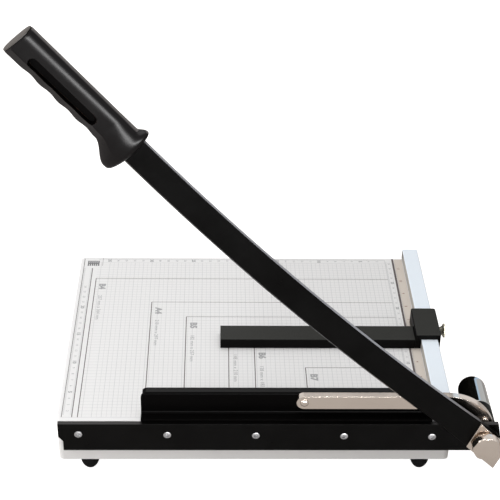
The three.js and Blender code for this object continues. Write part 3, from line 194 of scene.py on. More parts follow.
# depth of the painted highlight band along the press bar's top
pressSheenBand = 1.2
armTilt = radians(43.8)
armAlong = Vector((-cos(armTilt), 0.0, sin(armTilt)))
armUp = Vector((sin(armTilt), 0.0, cos(armTilt)))
armSheenFrom = 21.0  # where the painted reflection along the arm's top edge begins, from the pivot along the arm
upright = Vector((0, 0, 1))
everywhere = -10.0  # a painted band's start, in metres, that lies before the whole object
black = dict(
    colour=(0.0013, 0.0012, 0.0012), second=(0.0022, 0.002, 0.0019), roughness=(0.28, 0.4), cloudScale=30.0,
    fineScale=1400.0, bump=0.15, specular=0.06, wearAndRimSheen=0.4, wearAndRimSheenColour=(0.035, 0.033, 0.031))
metal = dict(metallic=1.0, bump=0.05, bumpDepth=0.02, rounding=0.2)
ink = dict(roughness=(0.4, 0.5), cloudScale=60.0, bump=0.05, bumpDepth=0.01, specular=0.3, rounding=0.02)
looks = dict(
    boardEnamel=dict(
        colour=(0.80, 0.796, 0.792), second=(0.77, 0.758, 0.752), roughness=(0.34, 0.46), cloudScale=9.0,
        bump=0.12, specular=0.35, wearAndRimSheen=0.25, wearAndRimSheenColour=(0.5, 0.46, 0.42)),
    blackEnamel=black,
    # painted highlight: the press bar's top band is lighter than its black face
    pressEnamel={
        **black, "colour": (0.0022, 0.0021, 0.0021), "specular": 0.02, "wearAndRimSheen": 0.05,
        "paintedLightStrip": (upright, pressHigh.z - pressSheenBand * mm, upright), "paintedLightColour": (0.031, 0.0305, 0.0305)},
    # painted highlight on the blade's top face, left dark over the press bar's length as the press bar's painted shadow
    bladeEnamel=dict(
        black, paintedLightStrip=(upright, (pressHigh.x - pressLow.x) / 2, Vector((1, 0, 0))),
        paintedLightMiddle=(pressLow.x + pressHigh.x) / 2, paintedLightColour=(0.06, 0.057, 0.057)),
    # painted reflection: a light grey band on the arm's top edge, at a quarter near its start and full 60 mm further on
    armEnamel=dict(
        black, paintedLightStrip=(armUp, pivot.dot(armAlong) + armSheenFrom * mm, armAlong), paintedLightFirst=0.25, paintedLightFade=60.0,
        paintedLightColour=(0.42, 0.42, 0.45)),
    # painted shade: the fence's left face darker, a warm brownish grey
    fenceEnamel=dict(
        colour=(0.87, 0.93, 0.99), second=(0.83, 0.90, 0.97), roughness=(0.28, 0.4), cloudScale=20.0,
        fineScale=1100.0, bump=0.1, specular=0.45, wearAndRimSheen=0.2, wearAndRimSheenColour=(0.55, 0.55, 0.56),
        paintedLightStrip=(Vector((-1, 0, 0)), everywhere, upright), paintedLightColour=(0.30, 0.275, 0.235)),
    # painted sheen: the gauge's up-facing faces lighter than its front
    gaugeEnamel=dict(
        colour=(0.0014, 0.0013, 0.0013), second=(0.0024, 0.0022, 0.0021), roughness=(0.4, 0.52), cloudScale=40.0,
        fineScale=1500.0, bump=0.25, bumpDepth=0.04, specular=0.06, wearAndRimSheen=0.4, wearAndRimSheenColour=(0.06, 0.06, 0.058),
        paintedLightStrip=(upright, everywhere, upright), paintedLightColour=(0.042, 0.042, 0.039)),
    nickelPlate=dict(
        metallic=1.0, colour=(0.66, 0.59, 0.53), second=(0.58, 0.51, 0.455), roughness=(0.11, 0.19), cloudScale=22.0,
        fineScale=260.0, grain=(1.0, 8.0, 12.0), fineRough=0.12, bump=0.06, rounding=0.3,
        wearAndRimSheen=0.15, wearAndRimSheenColour=(0.78, 0.73, 0.68)),
    chromePlate={
        **metal, "colour": (0.42, 0.42, 0.41), "second": (0.38, 0.38, 0.37), "roughness": (0.04, 0.09),
        "cloudScale": 26.0, "fineScale": 700.0, "fineRough": 0.03, "bump": 0.02},
    brownedSteel=dict(
        metal, colour=(0.17, 0.115, 0.075), second=(0.10, 0.065, 0.042), roughness=(0.24, 0.36), cloudScale=140.0,
        fineScale=700.0, fineRough=0.1),
    zincPlate={
        **metal, "colour": (0.44, 0.44, 0.45), "second": (0.34, 0.34, 0.35), "roughness": (0.24, 0.4),
        "cloudScale": 120.0, "fineRough": 0.12, "rounding": 0.1},
    brassTurned=dict(
        metal, colour=(0.66, 0.63, 0.52), second=(0.54, 0.51, 0.41), roughness=(0.32, 0.46), cloudScale=90.0,
        fineRough=0.1),
    # painted shade in the handle's pocket: darker and duller than the grip, with a painted warm highlight along its rim
    pocketShadeAndRimSheen=dict(
        colour=(0.0016, 0.0012, 0.0012), second=(0.0026, 0.002, 0.002), roughness=(0.4, 0.5), cloudScale=60.0,
        fineScale=1600.0, bump=0.2, bumpDepth=0.05, specular=0.02, wearAndRimSheen=1.0, wearAndRimSheenColour=(0.2, 0.11, 0.07)),
    # painted sheen: the grip's upward-facing faces lighter grey
    blackMoulding=dict(
        colour=(0.003, 0.0022, 0.0025), second=(0.0048, 0.0034, 0.0038), roughness=(0.28, 0.34), cloudScale=35.0,
        bump=0.03, bumpDepth=0.02, specular=0.145, wearAndRimSheen=0.25, wearAndRimSheenColour=(0.03, 0.028, 0.027),
        paintedLightStrip=(armUp, everywhere, armUp), paintedLightEdge=(0.86, 0.94), paintedLightColour=(0.15, 0.137, 0.135)),
    capMoulding=dict(
        colour=(0.085, 0.075, 0.067), second=(0.065, 0.057, 0.051), roughness=(0.42, 0.55), cloudScale=60.0,
        fineScale=1300.0, bump=0.15, specular=0.3, rounding=0.3),
    blackRubber=dict(
        colour=(0.002, 0.002, 0.002), second=(0.0035, 0.0035, 0.0035), roughness=(0.6, 0.75), cloudScale=80.0,
        fineScale=1600.0, bump=0.3, bumpDepth=0.05, specular=0.06, rounding=0.3),
    printInk=dict(ink, colour=(0.16, 0.16, 0.165), second=(0.20, 0.20, 0.205)),
    frameInk=dict(ink, colour=(0.35, 0.35, 0.355), second=(0.39, 0.39, 0.395)),
    rulingInk={**ink, "colour": (0.55, 0.55, 0.555), "second": (0.60, 0.60, 0.60), "cloudScale": 50.0},
    rulerInk={**ink, "colour": (0.115, 0.095, 0.095), "second": (0.14, 0.12, 0.12), "specular": 0.2},
    redInk=dict(ink, colour=(0.24, 0.11, 0.09), second=(0.30, 0.15, 0.12)),
    rulerFilm=dict(
        colour=(0.67, 0.61, 0.55), second=(0.61, 0.55, 0.49), roughness=(0.34, 0.46), cloudScale=18.0,
        bump=0.08, bumpDepth=0.02, specular=0.4, rounding=0.03))
finish = {name: surface(name, look) for name, look in looks.items()}
print("surfaces made:", len(finish))


def newPiece(name, data, material=None):
    piece = bpy.data.objects.new(name, data)
    scene.collection.objects.link(piece)
    if material:
        data.materials.clear()
        data.materials.append(finish[material])
    return piece


def meshFrom(name, shape):  # a finished bmesh as a mesh of its own
    mesh = bpy.data.meshes.new(name)
    shape.to_mesh(mesh)
    shape.free()
    return mesh


def evaluated(thing):
    return bpy.data.meshes.new_from_object(thing.evaluated_get(bpy.context.evaluated_depsgraph_get()))


def settled(piece):  # modifiers turned into a plain mesh
    mesh = evaluated(piece)
    piece.modifiers.clear()
    piece.data = mesh
    return piece


def addBevel(piece, width, segments, degrees):
    bevel = piece.modifiers.new("Bevel", "BEVEL")
    bevel.width = width * mm
    bevel.segments = segments
    bevel.limit_method = "ANGLE"
    bevel.angle_limit = radians(degrees)


def addCut(piece, tool):
    cut = piece.modifiers.new("Cut", "BOOLEAN")
    cut.operation = "DIFFERENCE"
    cut.solver = "EXACT"
    cut.object = tool
    return cut


def evened(piece):  # normals weighted by face size, then settled
    piece.modifiers.new("Normals", "WEIGHTED_NORMAL").keep_sharp = True
    return settled(piece)


def keep(piece, body, nodes=()):
    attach(piece, body)
    if nodes:
        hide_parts(*nodes)
    return piece


def standIn(piece, *nodes):  # the piece takes these nodes' place and body
    return keep(piece, bodyOf[nodes[0]], nodes)


def numbered(stem, count):
    return [f"{stem}_{i}" for i in range(1, count + 1)]


def shadeByAngle(mesh, degrees):
    mesh.polygons.foreach_set("use_smooth", [True] * len(mesh.polygons))
    mesh.set_sharp_from_angle(angle=radians(degrees))


def outward(mesh):
    shape = bmesh.new()
    shape.from_mesh(mesh)
    bmesh.ops.recalc_face_normals(shape, faces=shape.faces)
    if shape.calc_volume(signed=True) < 0:
        bmesh.ops.reverse_faces(shape, faces=shape.faces)
    shape.to_mesh(mesh)
    shape.free()


# Nodes that stay bare stand behind other pieces
for node in ["pivot_spring", "pivot_nut"] + numbered("gauge_screw", 2):
    for place in frame["nodes"][node].material_slots:
        place.material = finish["zincPlate"]

# Main pieces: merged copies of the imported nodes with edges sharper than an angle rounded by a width
rounding = dict(segments=2, sharp=32, mergeWithin=0.002, flatWithin=0.08)
roundedPieces = dict(
    baseboard=dict(material="boardEnamel", width=0.0, sharp=34),
    fixed_blade=dict(material="bladeEnamel", width=0.35),
    press_bar=dict(material="pressEnamel", width=0.35),
    side_fence=dict(material="fenceEnamel", width=0.2),
    gauge_bar=dict(material="gaugeEnamel", width=0.3),
    gauge_block=dict(material="gaugeEnamel", width=0.35),
    knife_arm=dict(material="armEnamel", width=0.3),
    pivot_plate=dict(material="nickelPlate", width=0.4),
    press_lever=dict(material="nickelPlate", width=0.7),
    handle_end_cap=dict(material="capMoulding", width=0.0, sharp=50),
    lever_pin_nut=dict(material="zincPlate", width=0.2))


def roundedCopy(node, look):
    shape = bmesh.new()
    shape.from_mesh(frame["nodes"][node].data)
    bmesh.ops.remove_doubles(shape, verts=shape.verts, dist=rounding["mergeWithin"] * mm)
    bmesh.ops.dissolve_limit(shape, angle_limit=radians(rounding["flatWithin"]), verts=shape.verts,
                             edges=shape.edges)
    piece = newPiece(node + "Made", meshFrom(node + "Made", shape), look["material"])
    sharp = look.get("sharp", rounding["sharp"])
    shadeByAngle(piece.data, sharp)
    if look["width"]:
        addBevel(piece, look["width"], rounding["segments"], sharp)
    return standIn(evened(piece), node)


for node, look in roundedPieces.items():
    roundedCopy(node, look)
print("main pieces rounded")


def startTree(name, **inputs):  # a node group with these inputs and one geometry output
    tree = bpy.data.node_groups.new(name, "GeometryNodeTree")
    for label, kind in inputs.items():
        tree.interface.new_socket(label.replace("_", " "), in_out="INPUT", socket_type="NodeSocket" + kind)
    tree.interface.new_socket("Geometry", in_out="OUTPUT", socket_type="NodeSocketGeometry")
    return tree, tree.nodes.new("NodeGroupInput").outputs


def endTree(tree, geometry, material):
    real = addNode(tree, "GeometryNodeRealizeInstances", Geometry=geometry)
    coated = addNode(tree, "GeometryNodeSetMaterial", Geometry=real.outputs[0], Material=material)
    tree.links.new(coated.outputs[0], tree.nodes.new("NodeGroupOutput").inputs[0])
    return tree


# A turned piece: its profile, radius and distance along the axis, runs round a small circle
def turnedTree():
    tree, given = startTree("turnedPiece", Profile="Geometry", Segments="Int", Core_Radius="Float", Metal="Material")
    profile = addNode(tree, "GeometryNodeMeshToCurve", Mesh=given["Profile"])
    circle = addNode(tree, "GeometryNodeCurvePrimitiveCircle", Resolution=given["Segments"],
                     Radius=given["Core Radius"])
    swept = addNode(tree, "GeometryNodeCurveToMesh", Curve=circle.outputs[0], Profile_Curve=profile.outputs[0])
    merged = addNode(tree, "GeometryNodeMergeByDistance", Geometry=swept.outputs[0], Distance=0.001 * mm)
    return endTree(tree, merged.outputs[0], given["Metal"])


# Copies of one part on the points of the modifier's mesh, each turned about its own axis by a seeded angle
def copiesTree():
    tree, given = startTree("placedCopies", Points="Geometry", Part="Object", Lean="Vector", Most_Turn="Float",
                            Turn_Seed="Int", Metal="Material")
    part = addNode(tree, "GeometryNodeObjectInfo", Object=given["Part"])
    chance = addNode(tree, "FunctionNodeRandomValue")
    join(tree, given["Most Turn"], chance.inputs[3])
    join(tree, given["Turn Seed"], chance.inputs["Seed"])
    spin = addNode(tree, "ShaderNodeCombineXYZ", Z=chance.outputs[1])
    turn = addNode(tree, "FunctionNodeEulerToRotation", Euler=spin.outputs[0])
    lean = addNode(tree, "FunctionNodeEulerToRotation", Euler=given["Lean"])
    both = addNode(tree, "FunctionNodeRotateRotation", {"rotation_space": "LOCAL"}, Rotation=lean.outputs[0],
                   Rotate_By=turn.outputs[0])
    copies = addNode(tree, "GeometryNodeInstanceOnPoints", Points=given["Points"], Instance=part.outputs["Geometry"],
                     Rotation=both.outputs[0])
    return endTree(tree, copies.outputs[0], given["Metal"])


# A row of equal bars: a line of points with a bar on each
def barsTree():
    tree, given = startTree("equalBars", First="Vector", Step="Vector", Count="Int", Bar_Size="Vector", Ink="Material")
    line = addNode(tree, "GeometryNodeMeshLine", Count=given["Count"],
                   Start_Location=given["First"], Offset=given["Step"])
    bar = addNode(tree, "GeometryNodeMeshCube", Size=given["Bar Size"])
    bars = addNode(tree, "GeometryNodeInstanceOnPoints", Points=line.outputs[0], Instance=bar.outputs[0])
    return endTree(tree, bars.outputs[0], given["Ink"])


# Ribs round a circle: one rib is turned round the axis in equal steps
def ringTree():
    tree, given = startTree("ribsRoundAxis", Rib="Geometry", Count="Int", Metal="Material")
    line = addNode(tree, "GeometryNodeMeshLine", Count=given["Count"], Offset=(0, 0, 0))
    index = tree.nodes.new("GeometryNodeInputIndex")
    turnShare = sums(tree, "DIVIDE", index.outputs[0], given["Count"])
    angle = addNode(tree, "ShaderNodeCombineXYZ", Z=sums(tree, "MULTIPLY", turnShare, tau))
    turn = addNode(tree, "FunctionNodeEulerToRotation", Euler=angle.outputs[0])
    copies = addNode(tree, "GeometryNodeInstanceOnPoints", Points=line.outputs[0], Instance=given["Rib"],
                     Rotation=turn.outputs[0])
    return endTree(tree, copies.outputs[0], given["Metal"])


turning, copying, ruling, ringing = turnedTree(), copiesTree(), barsTree(), ringTree()


def runTree(name, tree, mesh=None, **values):
    piece = newPiece(name, mesh or bpy.data.meshes.new(name))
    modifier = piece.modifiers.new("Nodes", "NODES")
    modifier.node_group = tree
    for item in tree.interface.items_tree:
        if item.item_type == "SOCKET" and item.in_out == "INPUT" and item.name.replace(" ", "_") in values:
            modifier[item.identifier] = values[item.name.replace(" ", "_")]
    piece.data.update()
    return settled(piece)


coreRadius = 0.01
asMade = Matrix.Identity(4)  # a turned piece is made head down on its axis
alongY = Matrix.Rotation(radians(90), 4, "X")
alongX = Matrix.Rotation(radians(-90), 4, "Y")


def turned(name, profile, material, segments=48, closed=False, direction=alongY, place=None, sharp=28):
    mesh = bpy.data.meshes.new(name)
    count = len(profile)
    links = [(i, (i + 1) % count) for i in range(count if closed else count - 1)]
    mesh.from_pydata([(radius * mm - coreRadius, height * mm, 0) for radius, height in profile], links, [])
    piece = runTree(name, turning, mesh, Segments=segments, Core_Radius=coreRadius, Metal=finish[material])
    outward(piece.data)
    shadeByAngle(piece.data, sharp)
    piece.data.transform(direction)
    if place is not None:
        piece.data.transform(shiftedBy(place))
    return piece


def arc(x, y, radius, start, end, steps, squash=1.0):  # points of a profile's rounding, angles in degrees
    points = []
    for i in range(steps + 1):
        angle = radians(start + (end - start) * i / steps)
        points.append((x + radius * cos(angle), y + radius * squash * sin(angle)))
    return points


# Handle: one lofted body; u runs from the pivot along the arm, v upwards across it
grip = dict(
    first=481.0, last=619.5, axisStart=490.0, axisRise=2.2, axisSlope=4.6, armMiddle=2.8,
    top=15.5, bottom=17.2, half=7.8, shoulder=0.4, chamferStart=0.5, chamferDepth=0.74,
    chinIn=0.97, chinDrop=0.4, toeOut=0.6, toeRise=1.6, soleRise=0.7, keelRise=0.1,
    fingerFirst=515.0, fingerLast=602.0, fingers=4, fingerDepth=1.1,
    leanStart=570.0, lean=0.1, stations=150, smoothings=2, roundOver=1.0, endRing=0.3,
    guardTopAt=484.5, guardTopBack=493.0, guardTop=20.8,
    guardBottomAt=490.3, guardBottomBack=514.0, guardBottom=31.0, guardHalf=10.5,
    collarTop=15.0, collarBottom=16.5, collarHalf=7.5,
    pocketFirst=529.0, pocketLast=598.0, pocketDrop=4.6, pocketHalf=3.2, pocketFlare=1.7, pocketDepth=4.2,
    pocketAbove=3.0, pocketSteps=8, rimBevel=0.5, rimSegments=3, rimSharp=28, sharp=40)


def share(value, start, end):
    return min(1.0, max(0.0, (value - start) / (end - start)))


def onArm(u, y, v):  # a point of the raised arm, y from the arm's middle plane
    place = pivot + armAlong * (u * mm) + armUp * (v * mm)
    return Vector((place.x, zeroY + (y - grip["armMiddle"]) * mm, place.z))


def gripAxis(u):
    return grip["axisRise"] + (u - grip["axisStart"]) * tan(radians(grip["axisSlope"]))


def gripSizes(u):
    g = grip
    topRise = share(u, g["guardTopBack"], g["guardTopAt"])
    bottomRise = share(u, g["guardBottomBack"], g["guardBottomAt"])
    topFall, bottomFall = share(u, g["guardTopAt"], g["first"]), share(u, g["guardBottomAt"], g["first"])

    def mix(body, peak, collar, rise, fall):
        return body + (peak - body) * rise * rise * (3 - 2 * rise) + (collar - peak) * fall ** 4

    finger = share(u, g["fingerFirst"], g["fingerLast"]) * g["fingers"]
    groove = g["fingerDepth"] * (1 - cos(finger * tau)) / 2
    edge = g["roundOver"] * (1 - sqrt(1 - share(u, g["last"] - g["roundOver"], g["last"]) ** 2))
    top = mix(g["top"], g["guardTop"], g["collarTop"], topRise, topFall) - edge
    bottom = mix(g["bottom"], g["guardBottom"], g["collarBottom"], bottomRise, bottomFall) - groove - edge
    half = mix(g["half"], g["guardHalf"], g["collarHalf"], bottomRise, bottomFall) - edge
    return top, bottom, half, bottomRise


def cornersCut(loop):  # each corner of a closed loop gives way to two points
    near, far = 0.75, 0.25
    cut = []
    for (y0, v0), (y1, v1) in zip(loop, loop[1:] + loop[:1]):
        cut += [(near * y0 + far * y1, near * v0 + far * v1), (far * y0 + near * y1, far * v0 + near * v1)]
    return cut


def gripSection(u):  # round above, flat in front, chamfered below; oval at the guard
    g = grip
    top, bottom, half, guard = gripSizes(u)
    shoulder = g["shoulder"] * top
    corner = -g["chamferStart"] * bottom
    side = [(0.0, top)]
    for degrees in (15, 30, 45, 60, 75, 90):
        angle = radians(degrees)
        side.append((-half * sin(angle), shoulder + (top - shoulder) * cos(angle)))
    side += [(-half, shoulder * 0.5), (-half, 0.0), (-half, corner * 0.5), (-half, corner),
             (-half * g["chinIn"], corner - g["chinDrop"])]
    toe = -half * (1 - g["chamferDepth"])
    side += [(toe - g["toeOut"], -bottom + g["toeRise"]), (toe, -bottom + g["soleRise"]),
             (toe * 0.5, -bottom + g["keelRise"]), (0.0, -bottom)]
    loop = side + [(-y, v) for y, v in reversed(side[1:-1])]
    for _ in range(g["smoothings"]):
        loop = cornersCut(loop)
    mixed = []
    for y, v in loop:
        reach = top if v > 0 else bottom
        angle = atan2(v / reach, y / half)
        mixed.append((y + (half * cos(angle) - y) * guard, v + (reach * sin(angle) - v) * guard))
    return mixed


def loftedShell(name, rings, material):
    shape = bmesh.new()
    made = [[shape.verts.new(point) for point in ring] for ring in rings]
    for low, high in zip(made, made[1:]):
        for i in range(len(low)):
            j = (i + 1) % len(low)
            shape.faces.new((low[i], low[j], high[j], high[i]))
    shape.faces.new(list(reversed(made[0])))
    shape.faces.new(made[-1])
    mesh = meshFrom(name, shape)
    outward(mesh)
    return newPiece(name, mesh, material)


def pocketCutter():  # a flared trough with round ends
    g = grip
    rings = []
    for depth, flare in ((g["pocketDepth"], 0), (0.0, 1), (-g["pocketAbove"], 2)):
        half = g["pocketHalf"] + g["pocketFlare"] * flare
        ring = []
        for centre, start in ((g["pocketFirst"], 180), (g["pocketLast"], 0)):
            for i in range(g["pocketSteps"] + 1):
                angle = radians(start - 90 + 180 * i / g["pocketSteps"])
                u = centre + half * cos(angle)
                v = gripAxis(u) - g["pocketDrop"] + half * sin(angle)
                ring.append(onArm(u, -g["half"] + depth, v))
        rings.append(ring)
    return loftedShell("pocketCutter", rings, "pocketShadeAndRimSheen")


def makeGrip():
    g = grip
    rings = []
    for i in range(g["stations"] + 1):
        u = g["first"] + (g["last"] - g["first"]) * i / g["stations"]
        if i == g["stations"] - 1:
            u = g["last"] - g["endRing"]
        lean = g["lean"] * share(u, g["leanStart"], g["last"])
        rings.append([onArm(u - lean * v, y, gripAxis(u) + v) for y, v in gripSection(u)])
    piece = loftedShell("gripMade", rings, "blackMoulding")
    tool = pocketCutter()
    # the cut faces take the cutter's material: the pocket's painted shade and rim highlight
    addCut(piece, tool).material_mode = "TRANSFER"
    addBevel(piece, g["rimBevel"], g["rimSegments"], g["rimSharp"])
    settled(piece)
    bpy.data.objects.remove(tool)
    shadeByAngle(piece.data, g["sharp"])
    return evened(piece)


standIn(makeGrip(), "handle_grip")
print("handle lofted")

# The pivot's turned pieces; distances along the axis count from the cutting plane
pivotPlace = Vector((pivot.x, zeroY, pivot.z))
bolt = dict(
    width=26.8, radius=14.3, face=13.1, front=-19.3, back=-10.6, shank=8.0, tail=6.0, tailFrom=45.5, end=75.0,
    rimWidth=0.5, rimDrop=0.15, cornerDrop=0.9, tipChamfer=1.0, flatsAt=30, sharp=24)
barrel = dict(radius=14.8, wall=1.5, front=39.8, straight=35.5, dome=14.4, lip=0.6)
boss = dict(radius=14.8, bore=8.2, front=14.55, shoulder=39.55, spigot=13.05, end=45.5, chamfer=0.7)
rings = dict(
    bolt_washer=dict(bore=8.2, radius=13.7, edge=0.35, material="brownedSteel"),
    pivot_spacer=dict(bore=8.2, radius=11.6, edge=0.3, material="nickelPlate"),
    lever_bush=dict(bore=8.2, radius=9.5, edge=0.3, material="brassTurned"),
    tail_washer=dict(bore=6.3, radius=12.0, edge=0.4, material="zincPlate"))


def drawIn(vertex, factor):  # towards the z axis
    vertex.co.x *= factor
    vertex.co.y *= factor


def makeFlats(piece, width, first):  # six flats, the first one's angle in degrees
    sixth = pi / 3
    for vertex in piece.data.vertices:
        radius = hypot(vertex.co.x, vertex.co.y)
        angle = atan2(vertex.co.y, vertex.co.x) - radians(first)
        reach = width / 2 * mm / cos((angle + sixth / 2) % sixth - sixth / 2)
        if radius > reach:
            drawIn(vertex, reach / radius)
    piece.data.update()


def makeBolt():
    b = bolt
    rim, tip = b["rimWidth"], b["tipChamfer"]
    profile = [(0.0, b["front"]), (b["face"], b["front"]), (b["face"] + rim, b["front"] + b["rimDrop"]),
               (b["radius"], b["front"] + b["cornerDrop"]), (b["radius"], b["back"] - rim),
               (b["radius"] - rim, b["back"]), (b["shank"], b["back"]), (b["shank"], b["tailFrom"]),
               (b["tail"], b["tailFrom"] + rim), (b["tail"], b["end"] - tip), (b["tail"] - tip, b["end"]),
               (0.0, b["end"])]
    piece = turned("boltMade", profile, "nickelPlate", 96, direction=asMade)
    makeFlats(piece, b["width"], b["flatsAt"])
    shadeByAngle(piece.data, b["sharp"])
    piece.data.transform(shiftedBy(pivotPlace) @ alongY)
    return piece


def makeBarrel():
    b = barrel
    dome = b["front"] + b["straight"]
    inner = b["radius"] - b["wall"]
    profile = [(0.0, dome + b["dome"] - b["wall"])]
    profile += arc(0, dome, inner, 84, 0, 14, (b["dome"] - b["wall"]) / inner)
    profile += [(inner, dome - 0.4), (inner, b["front"] + 0.3), (inner + 0.3, b["front"])]
    profile += arc(b["radius"] - b["lip"], b["front"] + b["lip"], b["lip"], -90, 0, 4)
    profile += [(b["radius"], b["front"] + b["lip"] + 0.3), (b["radius"], dome - 0.4)]
    profile += arc(0, dome, b["radius"], 0, 86, 20, b["dome"] / b["radius"])
    profile += [(0.0, dome + b["dome"])]
    return turned("barrelMade", profile, "chromePlate", 72, place=pivotPlace)


def makeRing(node, sizes):
    low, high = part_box(node)
    front, back = (low.y - zeroY) / mm, (high.y - zeroY) / mm
    bore, radius, e = sizes["bore"], sizes["radius"], sizes["edge"]
    profile = [(bore + e, front), (radius - e, front), (radius - 0.3 * e, front + 0.3 * e), (radius, front + e),
               (radius, back - e), (radius - 0.3 * e, back - 0.3 * e), (radius - e, back), (bore + e, back),
               (bore, back - e), (bore, front + e)]
    return turned(node + "Made", profile, sizes["material"], 56, closed=True, place=pivotPlace)


def makeBoss():
    b = boss
    c = b["chamfer"]
    profile = [(b["bore"], b["front"]), (b["radius"] - c, b["front"]), (b["radius"] - 0.3 * c, b["front"] + 0.3 * c),
               (b["radius"], b["front"] + c), (b["radius"], b["shoulder"] - 0.3), (b["radius"] - 0.3, b["shoulder"]),
               (b["spigot"], b["shoulder"]), (b["spigot"], b["end"]), (b["bore"], b["end"])]
    return turned("bossMade", profile, "blackEnamel", 64, closed=True, place=pivotPlace)


standIn(makeBolt(), "pivot_bolt")
standIn(makeBarrel(), "spring_barrel")
standIn(makeBoss(), "pivot_boss")
for node, sizes in rings.items():
    standIn(makeRing(node, sizes), node)
stopButton = dict(radius=4.0, stem=2.2, front=5.3, seat=6.8, end=13.85, crown=0.6)
leverPin = dict(radius=2.5, head=4.2, height=1.7, seat=6.8, end=20.55)


def onLever(node, name, profile):  # a turned piece on its node's axis
    place = middleOf(node)
    place.y = zeroY
    standIn(turned(name, profile, "nickelPlate", 32, place=place), node)


def makeStopButton():
    s = stopButton
    profile = [(0.0, s["front"]), (s["radius"] - s["crown"], s["front"])]
    profile += arc(s["radius"] - s["crown"], s["front"] + s["crown"], s["crown"], -90, 0, 4)
    profile += [(s["radius"], s["seat"]), (s["stem"], s["seat"]), (s["stem"], s["end"]), (0.0, s["end"])]
    onLever("lever_stop", "stopButtonMade", profile)


def makeLeverPin():
    s = leverPin
    profile = [(0.0, s["seat"] - s["height"])]
    profile += arc(0, s["seat"], s["head"], -84, 0, 9, s["height"] / s["head"])
    profile += [(s["radius"], s["seat"]), (s["radius"], s["end"] - 0.4), (s["radius"] - 0.4, s["end"]), (0.0, s["end"])]
    onLever("lever_pin", "leverPinMade", profile)


makeStopButton()
makeLeverPin()
print("pivot pieces turned")


def joinPieces(name, parts):
    joined = bmesh.new()
    for part in parts:
        joined.from_mesh(part.data)
    mesh = meshFrom(name, joined)
    for part in parts:
        for material in part.data.materials:
            if material and material.name not in mesh.materials:
                mesh.materials.append(material)
        bpy.data.objects.remove(part)
    return newPiece(name, mesh)


# Thumbscrew: a turned brass screw with ribs round its rim
thumb = dict(
    stem=2.5, neck=3.4, head=7.6, tip=18.25, face=21.5, flare=22.9, flareSteps=8, rim=27.5, end=29.25,
    dish=1.0, rimChamfer=0.3, ribs=26, ribSize=0.7, ribSink=0.2, ribLength=0.9)


def makeThumbscrew():
    t = thumb
    place = middleOf("gauge_thumbscrew")
    place.x = zeroX
    profile = [(0.0, t["tip"]), (t["stem"], t["tip"]), (t["stem"], t["face"]), (t["neck"], t["face"]),
               (t["neck"], t["flare"])]
    for i in range(1, t["flareSteps"] + 1):
        angle = radians(90 * i / t["flareSteps"])
        profile.append((t["head"] - (t["head"] - t["neck"]) * cos(angle),
                        t["flare"] + (t["rim"] - t["flare"]) * sin(angle) ** 2))
    chamfer = t["rimChamfer"]
    profile += [(t["head"], t["end"] - chamfer), (t["head"] - chamfer, t["end"]), (t["head"] - t["dish"], t["end"]),
                (t["head"] / 2, t["end"] - t["dish"]), (0.0, t["end"] - t["dish"])]
    body = turned("thumbBody", profile, "brassTurned", 52, direction=alongX, place=place)
    size = t["ribSize"] * mm
    length = (t["end"] - t["rim"]) * mm * t["ribLength"]
    onRim = shiftedBy((t["head"] * mm - size * t["ribSink"], 0, 0))
    rib = bmesh.new()
    bmesh.ops.create_cube(rib, matrix=onRim @ Matrix.Rotation(radians(45), 4, "Z")
                          @ Matrix.Diagonal((size, size, length, 1)))
    ribs = runTree("thumbRibs", ringing, meshFrom("rib", rib), Count=t["ribs"], Metal=finish["brassTurned"])
    ribs.data.transform(shiftedBy(place + Vector(((t["rim"] + t["end"]) / 2 * mm, 0, 0))) @ alongX)
    return joinPieces("thumbscrewMade", [body, ribs])


standIn(makeThumbscrew(), "gauge_thumbscrew")

# Screws, nuts and feet: one of each kind is made about its axis, then copied to its nodes' places
bladeScrew = dict(radius=2.5, head=4.0, rim=0.5, cone=2.0, length=12.0, crown=0.25, slot=4.6, slotWidth=2.0,
                  slotDepth=1.6)
panScrew = dict(radius=2.0, head=4.0, height=2.4, footLength=11.45, fenceLength=9.7, slot=4.2, slotWidth=1.0,
                slotDepth=1.2)
gripScrew = dict(radius=2.0, head=3.6, height=1.2, length=8.0, slot=3.8, slotWidth=0.9, slotDepth=0.8)
crossRecess = dict(narrowing=0.86, sharp=28)
hexNut = dict(width=8.0, bore=2.65, height=3.5, chamfer=0.6, sharp=20)
foot = dict(radius=9.5, height=17.3, apart=2.8, bore=2.15, boreBottom=7.3, groove=0.5, grooveSteps=(3.0, 2.6, 1.8, 1.4),
            cone=((2.0, 0.3), (3.8, 1.1), (5.4, 2.5), (6.9, 4.4), (8.1, 6.5), (9.0, 8.8), (9.4, 10.6), (9.5, 12.6)))


def crossCut(piece, sizes, face):  # a cross recess in a head whose face lies at a height
    cutter = bmesh.new()
    bar = Matrix.Diagonal((sizes["slot"] * mm, sizes["slotWidth"] * mm, sizes["slotDepth"] * 2 * mm, 1))
    for quarter in (0, 90):
        turn = Matrix.Rotation(radians(quarter), 4, "Z")
        bmesh.ops.create_cube(cutter, matrix=turn @ shiftedBy((0, 0, face * mm)) @ bar)
        for vertex in cutter.verts:
            if vertex.co.z < face * mm:
                drawIn(vertex, crossRecess["narrowing"])
    tool = newPiece("crossCutter", meshFrom("crossCutter", cutter))
    addCut(piece, tool).use_self = True
    settled(piece)
    bpy.data.objects.remove(tool)
    shadeByAngle(piece.data, crossRecess["sharp"])
    return piece


def makeBladeScrew():  # head towards -Z of its own axis, face at the origin
    s = bladeScrew
    profile = [(0.0, -s["crown"]), (s["head"] * 0.5, -s["crown"] * 0.85), (s["head"] - 0.5, -0.05),
               (s["head"] - 0.12, 0.1), (s["head"], s["rim"]), (s["radius"], s["rim"] + s["cone"]),
               (s["radius"], s["length"] - 0.5), (s["radius"] - 0.5, s["length"]), (0.0, s["length"])]
    return crossCut(turned("bladeScrew", profile, "zincPlate", 32, direction=asMade), s, s["crown"])


